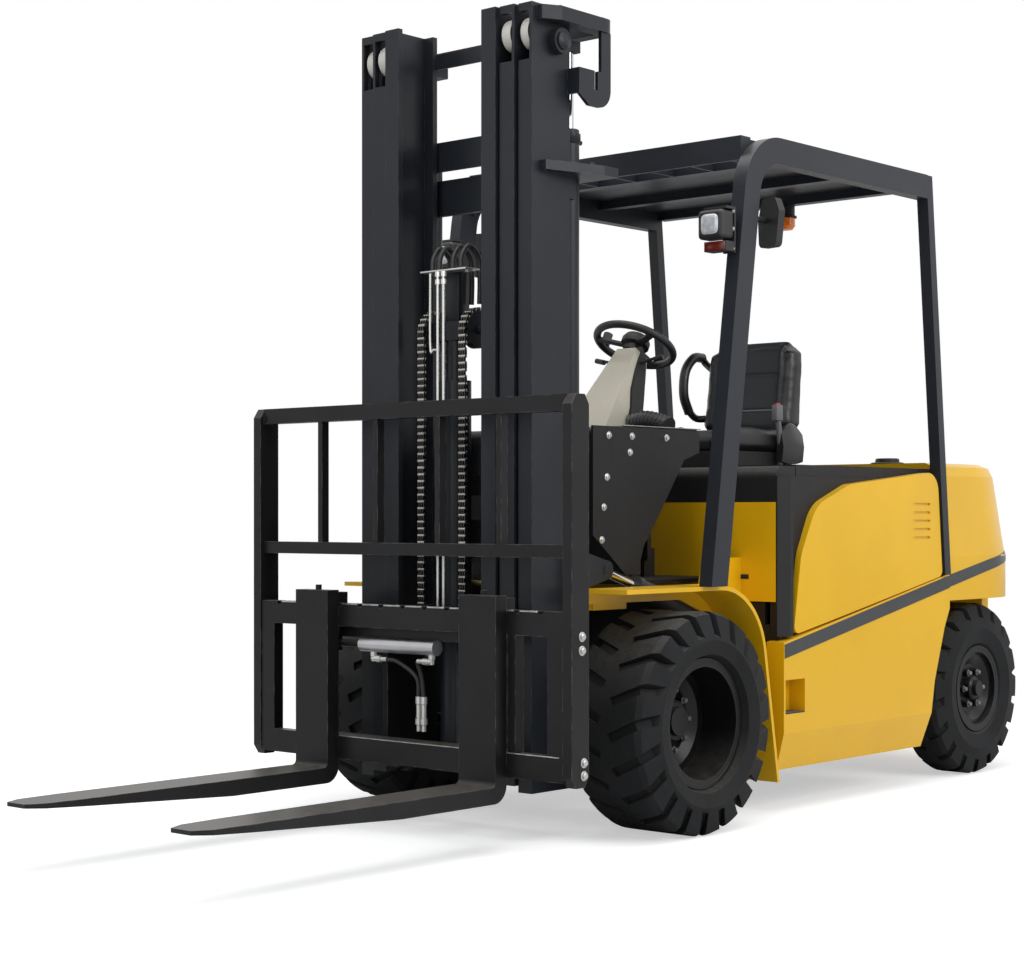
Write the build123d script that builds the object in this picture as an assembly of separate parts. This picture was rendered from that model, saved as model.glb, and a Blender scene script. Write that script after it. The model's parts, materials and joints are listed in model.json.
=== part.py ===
from build123d import *
from math import atan2, cos, hypot, pi, radians, sin
import os

# Counterbalance forklift truck, in millimetres.
# It is modelled about its front axle: x to the truck's left, y to the rear, z up from the floor.
# The finished pieces are then moved along y, so that the origin is under the middle of the whole truck.

# Overall
FORK_FACE = 706
FORK_LENGTH = 1150
WHEELBASE = 2000
REAR_OVERHANG = 550
REAR_REACH = WHEELBASE + REAR_OVERHANG
FIT = 0.3
RUN = 0.5
CENTRE_SHIFT = (FORK_FACE + FORK_LENGTH - REAR_REACH) / 2

# Front wheels
FRONT_TYRE_D = 711
FRONT_TYRE_W = 318
FRONT_WHEEL_X = 568
FRONT_BEAD_R = 190.5
FRONT_RIM_W = 248
FRONT_FLANGE_R = 208
FRONT_DISC_X = 520
FRONT_NUTS = 10
FRONT_NUT_CIRCLE = 102

# Rear wheels
REAR_TYRE_D = 670
REAR_TYRE_W = 190
REAR_WHEEL_X = 503
REAR_BEAD_R = 152.5
REAR_RIM_W = 156
REAR_FLANGE_R = 168
REAR_DISC_X = 528
REAR_NUTS = 6
REAR_NUT_CIRCLE = 70
RIM_WALL = 11
RIM_LIP = 9
DISC_WALL = 14
FRONT_LUGS = 20
REAR_LUGS = 18
FRONT_LUG_DEPTH = 22
REAR_LUG_DEPTH = 17
GROOVE_W = 30
GROOVE_LEAN = 24

# Drive axle
AXLE_R = 70
AXLE_HALF = 402
DRUM_R = 158
DRUM_FROM = 418
GEAR_CASE_R = 165
SADDLE_X = (215, 290)

# Steering
KINGPIN_X = 400
KINGPIN_R = 20
BEAM_Z = (215, 455)
BEAM_PLATE = 25
BEAM_HALF_Y = 45
KNUCKLE_R = 38
SPINDLE_R = 30

# Mast rails: three nested channels on each side
RAIL_X = (317, 372)
MID_X = (249, 309)
INNER_X = (181.5, 241)
RAIL_FRONT = -464
RAIL_DEPTH = 186
RAIL_STEP = 11
RAIL_WALL = 20
RAIL_TOP = 2607
RAIL_FOOT = 150
MID_FOOT = 170
INNER_FOOT = 190
NOTCH_Z = RAIL_TOP - 177
HEAD_Z = (RAIL_TOP - 52, RAIL_TOP - 8)
HEAD_X = 425
HEAD_Y = (-440, -110)
HEAD_R = 45
CLAMP_Z = (RAIL_TOP - 517, RAIL_TOP - 487)
OUTER_BAR_Z = (RAIL_TOP - 590, RAIL_TOP - 472)
MID_BAR_TOP_Z = (RAIL_TOP - 445, RAIL_TOP - 348)
INNER_BAR_TOP_Z = (RAIL_TOP - 107, RAIL_TOP - 57)
PAD_Z = (RAIL_TOP - 357, RAIL_TOP - 207)
HEAD_ROLLER_R = 50
HEAD_ROLLER_Y = -409
HEAD_ROLLER_Z = RAIL_TOP - 87
CROSS_DEPTH = 20
PIVOT_RING_R = 102
PIVOT_RING_X = (300, 360)

# Lift cylinders and free lift
LIFT_X = 300
LIFT_Y = -205
LIFT_R = 40
LIFT_ROD_R = 22
LIFT_TOP = RAIL_TOP - 357
LIFT_BRACKET_Z = (RAIL_TOP - 107, RAIL_TOP - 72)
LIFT_ROD_FOOT = 560
FREE_Y = -405
FREE_R = 50
FREE_ROD_R = 30
FREE_TOP = RAIL_TOP - 1157
FREE_ROD_FOOT = 450
CHAIN_X = (75, 105)
CHAIN_T = 12
SHEAVE_R = 60
SHEAVE_Z = FREE_TOP + 160
CHAIN_FOOT = 640
BACK_CHAIN_FOOT = 900

# Carriage, side shifter, backrest and forks
BAR_X = 655
BAR_T = 40
TOP_BAR_Z = (655, 730)
LOW_BAR_Z = (226, 301)
CARRIAGE_X = 400
CARRIAGE_T = 48
CARRIAGE_PLATE_X = (150, 170)
ROLLER_X = (184, 219)
ROLLER_Z = (300, 640)
FORK_X = 361
FORK_W = 150
FORK_T = 50
FORK_TOP_Z = 200
SHANK_TOP_Z = 773
HEEL_R = 55
TIP_T = 12
BACKREST_X = 692
BACKREST_T = 35
BACKREST_Y = (-660, -580)
BACKREST_Z = (212, 1372)
BACKREST_BAR = 45
MID_BAR_Z = (888, 927)
SHIFT_CYLINDER_Z = 600
SHIFT_CYLINDER_R = 24
SHIFT_ROD_R = 12

# Tilt cylinders
TILT_X = 400
TILT_FRONT = (-160, 840)
TILT_REAR = (400, 665)
TILT_R = 32
TILT_ROD_R = 17
TILT_PIN_R = 19
TILT_EYE_W = 36
TILT_BARREL_END = 400

# Chassis, fenders and skirts
SKIRT_X = (560, 630)
SKIRT_Z = 148
FENDER_REACH = 187.5
FENDER_FOOT = (FRONT_TYRE_D / 2 + FENDER_REACH, 111)
SKIRT_FRONT = FENDER_FOOT[0] + 9
SKIRT_REAR = WHEELBASE - 475
WALL_Y = (SKIRT_FRONT + 4, SKIRT_FRONT + 20)
STRIPE_FRONT = (520, 577)
STRIPE_SLOPE = 0.186
STRIPE_W = 55
FENDER_X = (452, 620)
FENDER_Z = FRONT_TYRE_D + 73
FENDER_FRONT = -303
FENDER_KNEE = 200
FENDER_BEND_R = FRONT_TYRE_D / 2 - 90.5
FENDER_T = 14
PANEL_X = (600, 642)
LOUVRES = 5
LOUVRE_Y = (WHEELBASE - 598, WHEELBASE - 480)
TRIM_X = (561, 600)
FLOOR_Z = FENDER_Z + 16
FLOOR_T = 12
FRAME_REAR = SKIRT_REAR - 5
BATTERY_W = 1020
BATTERY_H = 720
BATTERY_Y = (WALL_Y[1] + 43, FRAME_REAR - 45)

# Hood, seat and counterweight
CW_FRONT = WHEELBASE - 310
CW_CROWN_FRONT = WHEELBASE - 368
HOOD_FRONT = WALL_Y[1] + 108
HOOD_REAR = CW_CROWN_FRONT - 2
HOOD_Z = (1150, 1190)
HOOD_X = 594
HOOD_WALL = 8
SEAT_Y = 1000
SEAT_W = 500
SEAT_L = 460
SEAT_BASE_H = 60
SEAT_TOP_H = 175
SEAT_BACK_Z = 1704
BOLSTER_W = 85
CW_SLANT_Z = 800
CW_Z = (690, 1215)
CW_X = 620
CW_CORNER_R = 480
CW_BULGE = 30
CW_SLOPE = 95
CW_STEP = 8
CW_TOP_IN = 20
CW_CROWN = ((0.86, 0), (0.96, 12), (1, 45))
CW_FOOT_Z = 250
CW_FOOT_X = 390
SWEEP_R = 396
TOW_Z = (420, 520)
CREASE_Z = 860
BELLY_Z = 175

# Overhead guard and cowl
GUARD_X = (605, 655)
ROOF_Z = 2280
ROOF_FRONT = 330
ROOF_REAR = WHEELBASE - 460
GUARD_DEPTH = 88
GUARD_BEND_R = 210
GUARD_FOOT_Y = 100
GUARD_TOP_Y = 285
REAR_LEG_X = (605, 650)
REAR_LEG_T = 42
REAR_LEG_FOOT_Y = CW_FRONT - 69
REAR_LEG_TOP_Y = CW_FRONT - 215
ROOF_T = 46
LAMP_Y = 236
SLATS = 6
SLAT_T = 8
ROOF_BEAM = 45
ROOF_CROSS = 330
ROOF_SHEET = 8
ROOF_PLATE = 12
HEADER_DEPTH = 80
GUSSET = (190, 150)
COWL_X = 352
COWL_Y = (15, 450)
COWL_TOP = 1310
COWL_PLATE_T = 8
WHEEL_CENTRE = (546, 1626)
WHEEL_R = 155
WHEEL_RIM_R = 14
COLUMN_TILT = 28

# Worked out from the sizes above
FRONT_AXLE_Z = FRONT_TYRE_D / 2
REAR_AXLE_Z = REAR_TYRE_D / 2
RAIL_BACK = RAIL_FRONT + RAIL_DEPTH
BAR_FRONT = -FORK_FACE + FORK_T
BAR_BACK = BAR_FRONT + BAR_T
SHIFT_CYLINDER_Y = BAR_FRONT + SHIFT_CYLINDER_R + FIT
CARRIAGE_Y = (BAR_BACK + FIT, BAR_BACK + FIT + CARRIAGE_T)
INNER_FRONT = RAIL_FRONT - 2 * RAIL_STEP
ROLLER_Y = INNER_FRONT + RAIL_DEPTH / 2
ROLLER_R = RAIL_DEPTH / 2 - RAIL_WALL - FIT
FENDER_BEND = (FENDER_KNEE, FENDER_Z - FENDER_BEND_R)


def block(x, y, z):
    """A box between three pairs of limits."""
    size = Box(x[1] - x[0], y[1] - y[0], z[1] - z[0])
    return Pos((x[0] + x[1]) / 2, (y[0] + y[1]) / 2, (z[0] + z[1]) / 2) * size


def plate_x(points, x, radius=0):
    """A plate across the truck, with its outline in (y, z) and its corners rounded."""
    corners = [(x[0], y, z) for y, z in points]
    outline = FilletPolyline(*corners, radius=radius, close=True) if radius else Polyline(*corners,
        close=True)
    return extrude(make_face(outline), x[1] - x[0], dir=(1, 0, 0))


def plate_y(points, y):
    """A plate facing fore and aft, with its outline in (x, z)."""
    outline = Polyline(*[(x, y[0], z) for x, z in points], close=True)
    return extrude(make_face(outline), y[1] - y[0], dir=(0, 1, 0))


def plate_z(points, z, radius=0):
    """A level plate, with its outline in (x, y) and its corners rounded."""
    corners = [(x, y, z[0]) for x, y in points]
    outline = FilletPolyline(*corners, radius=radius, close=True) if radius else Polyline(*corners,
        close=True)
    return extrude(make_face(outline), z[1] - z[0], dir=(0, 0, 1))


def rod(start, end, radius):
    """A round bar between two points."""
    path = Vector(*end) - Vector(*start)
    place = Plane(origin=start, z_dir=path)
    return place * Cylinder(radius, path.length, align=(Align.CENTER, Align.CENTER, Align.MIN))


def turned(points, y, z):
    """A body turned about a cross axis at (y, z), with its profile in (x, radius)."""
    outline = Polyline(*[(x, 0, r) for x, r in points], close=True)
    return Pos(0, y, z) * revolve(make_face(outline), Axis.X)


def flip(solid):
    """The same solid on the truck's right."""
    return mirror(solid, about=Plane.YZ)


def pair(solids):
    """The solids and their mirror images."""
    return list(solids) + [flip(s) for s in solids]


def tyre(width, outer, bead, flange, rim_width, lugs, depth, centre, y):
    """A solid industrial tyre seated between its rim's lips, with angled lugs round both shoulders."""
    half = width / 2
    seat = rim_width / 2 - RIM_LIP
    shoulder = outer - 10
    profile = [(seat, bead), (seat, flange), (half - 12, flange + 12), (half, bead + 0.45 * (outer - bead))]
    profile += [(half - 20, shoulder), (half - 40, outer)]
    profile = [(centre + x, r) for x, r in profile]
    profile += [(2 * centre - x, r) for x, r in reversed(profile)]
    body = turned(profile, 0, 0)
    groove = [(0.08 * half, outer + 1), (0.08 * half, outer - 0.7 * depth), (half - 45, outer - depth)]
    groove += [(half - 20, outer - 3.1 * depth), (half + 12, outer - 3.9 * depth), (half + 12, outer + 1)]
    cutter = plate_y(groove, (-GROOVE_W / 2, GROOVE_W / 2))
    cutter = Pos(half / 2, 0, 0) * Rot(0, 0, GROOVE_LEAN) * Pos(-half / 2, 0, 0) * cutter
    other = Rot(180 / lugs, 0, 0) * flip(cutter)
    grooves = []
    for i in range(lugs):
        turn = Rot(360 * i / lugs, 0, 0)
        grooves += [Pos(centre, 0, 0) * turn * cutter, Pos(centre, 0, 0) * turn * other]
    return Pos(0, y, outer) * (body - grooves)


def rim(width, bead, flange, disc, centre, y, z, hub_r, hub_end, nuts, circle):
    """A dished steel wheel: barrel with turned lips, coned disc, hub cap and wheel nuts."""
    half = width / 2
    inner = bead - RIM_WALL
    lip = RIM_LIP
    barrel = [(centre - half, inner), (centre + half, inner), (centre + half, flange)]
    barrel += [(centre + half - lip, flange), (centre + half - lip, bead)]
    barrel += [(centre - half + lip, bead), (centre - half + lip, flange), (centre - half, flange)]
    shape = turned(barrel, y, z)
    cone = circle + 24
    face = disc + DISC_WALL
    plate = [(disc, 0), (face, 0), (face, cone), (face + 22, cone + 30), (face + 22, inner + 1),
        (disc + 22, inner + 1)]
    plate += [(disc + 22, cone + 26), (disc, cone + 4)]
    shape += turned(plate, y, z)
    cap = [(face - 1, 0), (face - 1, hub_r), (hub_end - 8, hub_r), (hub_end, hub_r - 8), (hub_end,
        hub_r * 0.7)]
    cap += [(hub_end + 14, hub_r * 0.66), (hub_end + 14, 0)]
    shape += turned(cap, y, z)
    for i in range(nuts):
        a = 2 * pi * i / nuts
        nut = Rot(0, 90, 0) * extrude(RegularPolygon(15, 6), 20)
        shape += Pos(face - 1, y + circle * cos(a), z + circle * sin(a)) * nut
    return shape


def drive_axle():
    """Axle tube, gear case and the two brake drums that the front wheels turn around."""
    z = FRONT_AXLE_Z
    shape = rod((-AXLE_HALF, 0, z), (AXLE_HALF, 0, z), AXLE_R)
    case = turned([(-120, 90), (-60, GEAR_CASE_R), (60, GEAR_CASE_R), (120, 90), (120, 0), (-120, 0)], 0, z)
    shape += case
    shape += block((-60, 60), (60, 330), (z - 90, z + 110))
    ends = [(AXLE_HALF - 1, 0), (AXLE_HALF - 1, 95), (DRUM_FROM, 110), (DRUM_FROM, DRUM_R)]
    ends += [(FRONT_DISC_X - RUN, DRUM_R), (FRONT_DISC_X - RUN, 0)]
    drum = turned(ends, 0, z)
    shape += drum
    shape += flip(drum)
    for side in (1, -1):
        x = sorted((side * SADDLE_X[0], side * SADDLE_X[1]))
        shape += block(x, (40, 150), (z - 80, z + 80))
    return [shape]


def channel(x, front, foot, notch):
    """One mast rail: web outboard and two flanges, the front one notched at the top."""
    rail = block(x, (front, front + RAIL_DEPTH), (foot, RAIL_TOP))
    hollow = (front + RAIL_WALL, front + RAIL_DEPTH - RAIL_WALL)
    rail -= block((x[0] - 1, x[1] - RAIL_WALL), hollow, (foot - 1, RAIL_TOP + 1))
    if notch:
        rail -= block((x[0] - 1, x[1] - RAIL_WALL / 2), (front - 1, front + RAIL_WALL + 1), (NOTCH_Z,
            RAIL_TOP - 25))
    return rail


def mast_outer():
    """Outer rails with their cross members, head, cylinder clamps, head rollers and axle bearings."""
    solids = pair([channel(RAIL_X, RAIL_FRONT, RAIL_FOOT, True)])
    back = RAIL_BACK + 10
    for z in ((RAIL_FOOT + 60, RAIL_FOOT + 200), (RAIL_FOOT + 1000, RAIL_FOOT + 1100), OUTER_BAR_Z):
        bar = block((-RAIL_X[1], RAIL_X[1]), (back, back + CROSS_DEPTH), z)
        for x in ((RAIL_X[0], RAIL_X[1]), (-RAIL_X[1], -RAIL_X[0])):
            bar += block(x, (RAIL_BACK, back), z)
        solids.append(bar)
    solids += mast_head()
    clamp_back = LIFT_Y + LIFT_R + 30
    clamp = plate_z([(RAIL_X[1], RAIL_FRONT + 40), (RAIL_X[1] + 24, RAIL_FRONT + 40), (LIFT_X + 155,
        LIFT_Y),
                     (LIFT_X + 155, clamp_back), (LIFT_X - 45, clamp_back), (LIFT_X - 45,
                     back + CROSS_DEPTH),
                     (RAIL_X[1], back + CROSS_DEPTH)], CLAMP_Z)
    clamp -= rod((LIFT_X, LIFT_Y, CLAMP_Z[0] - 1), (LIFT_X, LIFT_Y, CLAMP_Z[1] + 1), LIFT_R + FIT)
    solids += pair([clamp])
    pad = block((MID_X[1] + FIT, RAIL_X[0]), (RAIL_BACK - RAIL_WALL, RAIL_BACK - RAIL_STEP - 1), PAD_Z)
    solids += pair([pad])
    solids += pair([rod((RAIL_X[0] + 3, HEAD_ROLLER_Y, HEAD_ROLLER_Z),
                        (RAIL_X[1] - RAIL_WALL, HEAD_ROLLER_Y, HEAD_ROLLER_Z), HEAD_ROLLER_R)])
    z = FRONT_AXLE_Z
    ring = rod((PIVOT_RING_X[0], 0, z), (PIVOT_RING_X[1], 0, z), PIVOT_RING_R)
    ring += block(PIVOT_RING_X, (back + CROSS_DEPTH, 0), (z - PIVOT_RING_R, z + PIVOT_RING_R))
    ring -= rod((PIVOT_RING_X[0] - 1, 0, z), (PIVOT_RING_X[1] + 1, 0, z), AXLE_R + RUN)
    solids += pair([ring])
    solids += pair(tilt_ears())
    return solids


def mast_head():
    """Rounded tie plate round the head of the mast, with hose brackets and roller bosses."""
    y0, y1 = HEAD_Y
    outline = [(RAIL_X[1], y0), (RAIL_X[1] + 22, y0), (HEAD_X, y0 + 60), (HEAD_X, y1), (-HEAD_X, y1)]
    outline += [(-HEAD_X, y0 + 60), (-RAIL_X[1] - 22, y0), (-RAIL_X[1], y0), (-RAIL_X[1], y1 - HEAD_R)]
    outline += [(RAIL_X[1], y1 - HEAD_R)]
    tie = plate_z(outline, HEAD_Z)
    corners = tie.edges().filter_by(Axis.Z).filter_by(lambda e: e.center().Y > y1 - 1)
    tie = fillet(corners, HEAD_R - 1)
    top, foot = HEAD_Z[0], HEAD_Z[0] - 243
    hook = [(-290, top - 130), (-290, top - 210), (-240, foot), (-130, foot), (-130, top), (-178, top)]
    hook += [(-178, top - 130)]
    x = (HEAD_X - 17, HEAD_X - 5)
    bracket = plate_x(hook, x)
    low = bracket.edges().filter_by(Axis.X).filter_by(lambda e: e.center().Z < foot + 1 and e.center().Y > -150)
    bracket = fillet(low, 60)
    bracket -= block((x[0] - 1, x[1] + 1), (-212, -196), (top - 190, top - 129))
    bracket += block((RAIL_X[1], x[0]), (-290, -280), (top - 210, top - 130))
    boss = rod((RAIL_X[1], HEAD_ROLLER_Y + 64, HEAD_ROLLER_Z - 20), (RAIL_X[1] + 28, HEAD_ROLLER_Y + 64,
        HEAD_ROLLER_Z - 20), 40)
    return [tie] + pair([bracket, boss])


def tilt_ears():
    """Bracket on the back of an outer rail, with two ears and the pin of the tilt cylinder."""
    y, z = TILT_FRONT
    half = TILT_EYE_W / 2 + 1
    base = block((RAIL_X[0], TILT_X + half + 12), (RAIL_BACK, RAIL_BACK + 16), (z - 60, z + 60))
    for x in ((TILT_X - half - 12, TILT_X - half), (TILT_X + half, TILT_X + half + 12)):
        base += plate_x([(RAIL_BACK, z - 60), (y, z - 30), (y, z + 30), (RAIL_BACK, z + 60)], x)
        base += rod((x[0], y, z), (x[1], y, z), 30)
    base += rod((TILT_X - half - 12, y, z), (TILT_X + half + 14, y, z), TILT_PIN_R)
    return [base]


def tilt_direction():
    """Unit vector from the tilt cylinder's chassis pin to its mast pin, and their distance."""
    dy = TILT_FRONT[0] - TILT_REAR[0]
    dz = TILT_FRONT[1] - TILT_REAR[1]
    length = hypot(dy, dz)
    return dy / length, dz / length, length


def tilt_point(along):
    """A point on the tilt cylinder's axis, measured from its chassis pin."""
    dy, dz, _ = tilt_direction()
    return (TILT_X, TILT_REAR[0] + along * dy, TILT_REAR[1] + along * dz)


def tilt_barrel():
    """Tilt cylinder barrel with its rear eye, bored for the rod."""
    shape = rod(tilt_point(40), tilt_point(TILT_BARREL_END), TILT_R)
    shape += rod(tilt_point(TILT_BARREL_END - 30), tilt_point(TILT_BARREL_END), TILT_R + 3)
    y, z = TILT_REAR
    shape += rod((TILT_X - TILT_EYE_W / 2, y, z), (TILT_X + TILT_EYE_W / 2, y, z), 36)
    shape += rod(tilt_point(10), tilt_point(60), 15)
    shape -= rod((TILT_X - 40, y, z), (TILT_X + 40, y, z), TILT_PIN_R + RUN)
    shape -= rod(tilt_point(90), tilt_point(TILT_BARREL_END + 1), TILT_ROD_R + RUN)
    return [shape]


def tilt_rod():
    """Tilt cylinder rod; its eye has clearance round the mast pin."""
    length = tilt_direction()[2]
    shape = rod(tilt_point(170), tilt_point(length - 20), TILT_ROD_R)
    y, z = TILT_FRONT
    shape += rod((TILT_X - TILT_EYE_W / 2, y, z), (TILT_X + TILT_EYE_W / 2, y, z), 31)
    shape -= rod((TILT_X - 40, y, z), (TILT_X + 40, y, z), TILT_PIN_R + 2)
    return [shape]


def lift_cylinders():
    """Barrels of the two main lift cylinders behind the outer rails."""
    barrel = rod((LIFT_X, LIFT_Y, FRONT_AXLE_Z + PIVOT_RING_R), (LIFT_X, LIFT_Y, LIFT_TOP), LIFT_R)
    barrel += rod((LIFT_X, LIFT_Y, LIFT_TOP - 50), (LIFT_X, LIFT_Y, LIFT_TOP), LIFT_R - 2)
    barrel -= rod((LIFT_X, LIFT_Y, LIFT_ROD_FOOT - 20), (LIFT_X, LIFT_Y, LIFT_TOP + 1), LIFT_ROD_R + RUN)
    return pair([barrel])


def lift_rods():
    """Rods of the main lift cylinders, up to the middle stage's brackets."""
    return pair([rod((LIFT_X, LIFT_Y, LIFT_ROD_FOOT), (LIFT_X, LIFT_Y, LIFT_BRACKET_Z[0]), LIFT_ROD_R)])


def mast_mid():
    """Middle rails, cross members, head rollers and the brackets that the lift rods push."""
    front = RAIL_FRONT - RAIL_STEP
    back = front + RAIL_DEPTH
    solids = pair([channel(MID_X, front, MID_FOOT, True)])
    for z in ((MID_FOOT + 60, MID_FOOT + 180), MID_BAR_TOP_Z):
        solids.append(block((-MID_X[1], MID_X[1]), (back, back + 14), z))
    bracket = block((MID_X[0], MID_X[1]), (back, LIFT_Y), LIFT_BRACKET_Z)
    bracket += block((MID_X[0], LIFT_X + LIFT_ROD_R + 8), (RAIL_BACK + 12, LIFT_Y + 32), LIFT_BRACKET_Z)
    solids += pair([bracket])
    pad = block((INNER_X[1] + FIT, MID_X[0]), (back - RAIL_WALL, back - RAIL_STEP - 1), PAD_Z)
    solids += pair([pad])
    y = HEAD_ROLLER_Y - RAIL_STEP
    solids += pair([rod((MID_X[0] + 3, y, HEAD_ROLLER_Z), (MID_X[1] - RAIL_WALL, y, HEAD_ROLLER_Z),
        HEAD_ROLLER_R)])
    return solids


def mast_inner():
    """Inner rails, cross members, free lift cylinder base and chain anchor."""
    back = INNER_FRONT + RAIL_DEPTH
    solids = pair([channel(INNER_X, INNER_FRONT, INNER_FOOT, False)])
    for z in ((INNER_FOOT, INNER_FOOT + 130), (1000, 1080), INNER_BAR_TOP_Z):
        solids.append(block((-INNER_X[1], INNER_X[1]), (back, back + 6), z))
    solids.append(block((-70, 70), (FREE_Y - 55, back), (INNER_FOOT, INNER_FOOT + 50)))
    return solids


def free_cylinder():
    """Free lift cylinder barrel, standing on the inner mast."""
    foot = INNER_FOOT + 50
    barrel = rod((0, FREE_Y, foot), (0, FREE_Y, FREE_TOP), FREE_R)
    barrel -= rod((0, FREE_Y, FREE_ROD_FOOT - 100), (0, FREE_Y, FREE_TOP + 1), FREE_ROD_R + RUN)
    return [barrel]


def crosshead():
    """Free lift rod, crosshead and the two chain sheaves."""
    shape = rod((0, FREE_Y, FREE_ROD_FOOT), (0, FREE_Y, SHEAVE_Z), FREE_ROD_R)
    shape += block((-70, 70), (FREE_Y - 35, FREE_Y + 35), (SHEAVE_Z - 30, SHEAVE_Z + 30))
    shape += rod((-112, FREE_Y, SHEAVE_Z), (112, FREE_Y, SHEAVE_Z), 14)
    for side in (1, -1):
        shape += rod((side * CHAIN_X[0], FREE_Y, SHEAVE_Z), (side * CHAIN_X[1], FREE_Y, SHEAVE_Z), SHEAVE_R)
    return [shape]


def chain_front():
    """Front runs of the lift chains, from the sheaves down to the carriage."""
    y = FREE_Y - SHEAVE_R - FIT
    return pair([block(CHAIN_X, (y - CHAIN_T, y), (CHAIN_FOOT, SHEAVE_Z))])


def chain_upper():
    """Chain over each sheave, with half of the back run: its plates lie between the others."""
    middle = (CHAIN_X[0] + CHAIN_X[1]) / 2
    ring = rod((CHAIN_X[0], FREE_Y, SHEAVE_Z), (CHAIN_X[1], FREE_Y, SHEAVE_Z), SHEAVE_R + FIT + CHAIN_T)
    ring -= rod((CHAIN_X[0] - 1, FREE_Y, SHEAVE_Z), (CHAIN_X[1] + 1, FREE_Y, SHEAVE_Z), SHEAVE_R + FIT)
    ring -= block((CHAIN_X[0] - 1, CHAIN_X[1] + 1), (FREE_Y - 100, FREE_Y + 100), (SHEAVE_Z - 100,
        SHEAVE_Z + FIT))
    y = FREE_Y + SHEAVE_R + FIT
    run = block((middle + FIT, CHAIN_X[1]), (y, y + CHAIN_T), (BACK_CHAIN_FOOT - 20, SHEAVE_Z + FIT + 1))
    return pair([ring + run])


def chain_lower():
    """Other half of each back run, with its anchor on the inner mast."""
    middle = (CHAIN_X[0] + CHAIN_X[1]) / 2
    y = FREE_Y + SHEAVE_R + FIT
    run = block((CHAIN_X[0], middle), (y, y + CHAIN_T), (BACK_CHAIN_FOOT, SHEAVE_Z - 60))
    anchor_y = INNER_FRONT + RAIL_DEPTH
    run += block((CHAIN_X[0], middle), (y, anchor_y + 6), (BACK_CHAIN_FOOT - 40, BACK_CHAIN_FOOT))
    run += block((CHAIN_X[0], CHAIN_X[1]), (anchor_y, anchor_y + 6), (BACK_CHAIN_FOOT - 40, 1000))
    return pair([run])


def carriage():
    """Lift carriage: two bars, side plates, mast rollers, chain anchors and shifter guides."""
    y0, y1 = CARRIAGE_Y
    solids = [block((-CARRIAGE_X, CARRIAGE_X), (y0, y1), (620, 695)),
              block((-CARRIAGE_X, CARRIAGE_X), (y0, y1), (235, 300))]
    side = block(CARRIAGE_PLATE_X, (y1, ROLLER_Y + 60), (225, 720))
    for z in ROLLER_Z:
        side += rod((CARRIAGE_PLATE_X[1] - 1, ROLLER_Y, z), (ROLLER_X[1], ROLLER_Y, z), 25)
        side += rod((ROLLER_X[0], ROLLER_Y, z), (ROLLER_X[1], ROLLER_Y, z), ROLLER_R)
    solids += pair([side])
    chain_y = FREE_Y - SHEAVE_R - FIT - CHAIN_T
    solids += pair([block((CHAIN_X[0] - 5, CHAIN_X[1] + 5), (y1, chain_y + CHAIN_T), (CHAIN_FOOT - 20,
        CHAIN_FOOT))])
    z = SHIFT_CYLINDER_Z
    solids[0] += block((60, 100), (y0, y0 + 25), (z - 30, 621))
    return solids


def shift_cylinder():
    """Side shift cylinder barrel, held by the carriage."""
    y, z = SHIFT_CYLINDER_Y, SHIFT_CYLINDER_Z
    barrel = rod((-200, y, z), (128, y, z), SHIFT_CYLINDER_R)
    barrel -= rod((-201, y, z), (115, y, z), SHIFT_ROD_R + RUN)
    barrel -= block((58, 102), (CARRIAGE_Y[0] - FIT, y + 60), (z - 32, z + 32))
    return [barrel]


def shift_frame():
    """Side shifter frame that the forks hook over, with the rod of its cylinder."""
    y0, y1 = BAR_FRONT, BAR_BACK
    frame = block((-BAR_X, BAR_X), (y0, y1), TOP_BAR_Z)
    for i in range(-6, 7):
        frame -= block((i * 95 - 8, i * 95 + 8), (y0 - 1, y1 + 1), (TOP_BAR_Z[1] - 10, TOP_BAR_Z[1] + 1))
    frame += block((-BAR_X, BAR_X), (y0, y1), LOW_BAR_Z)
    for side in (1, -1):
        for x in ((BAR_X - 60, BAR_X), (440, 470)):
            frame += block(sorted((side * x[0], side * x[1])), (y0, y1), (LOW_BAR_Z[1] - 1,
                TOP_BAR_Z[0] + 1))
    y, z = SHIFT_CYLINDER_Y, SHIFT_CYLINDER_Z
    frame += block((-340, -310), (y - 12, y1), (z - 25, TOP_BAR_Z[0] + 1))
    frame += rod((-310, y, z), (0, y, z), SHIFT_ROD_R)
    return [frame]


def load_backrest():
    """Load backrest: two uprights, top and middle bars, and four short verticals."""
    y0, y1 = BACKREST_Y
    z0, z1 = BACKREST_Z
    inner = BACKREST_X - BACKREST_T
    upright = plate_x([(y0, z0 + 30), (y0 + 20, z0), (y1 - 20, z0), (y1, z0 + 30), (y1, z1 - 30),
                       (y1 - 20, z1), (y0 + 20, z1), (y0, z1 - 30)], (inner, BACKREST_X))
    frame = upright + flip(upright)
    frame += block((-inner - 1, inner + 1), (y0 + 15, y0 + 15 + BACKREST_BAR), (z1 - 50, z1))
    frame += block((-inner - 1, inner + 1), (y0 + 15, y0 + 15 + BACKREST_BAR), MID_BAR_Z)
    for x in (-390, -135, 135, 390):
        frame += block((x - 10, x + 10), (y0 + 20, y0 + 50), (MID_BAR_Z[1] - 1, z1 - 49))
    for side in (1, -1):
        x = sorted((side * BAR_X, side * (inner + 1)))
        for z in (TOP_BAR_Z, LOW_BAR_Z):
            frame += block(x, (BAR_FRONT, BAR_BACK), z)
    return [frame]


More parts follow.
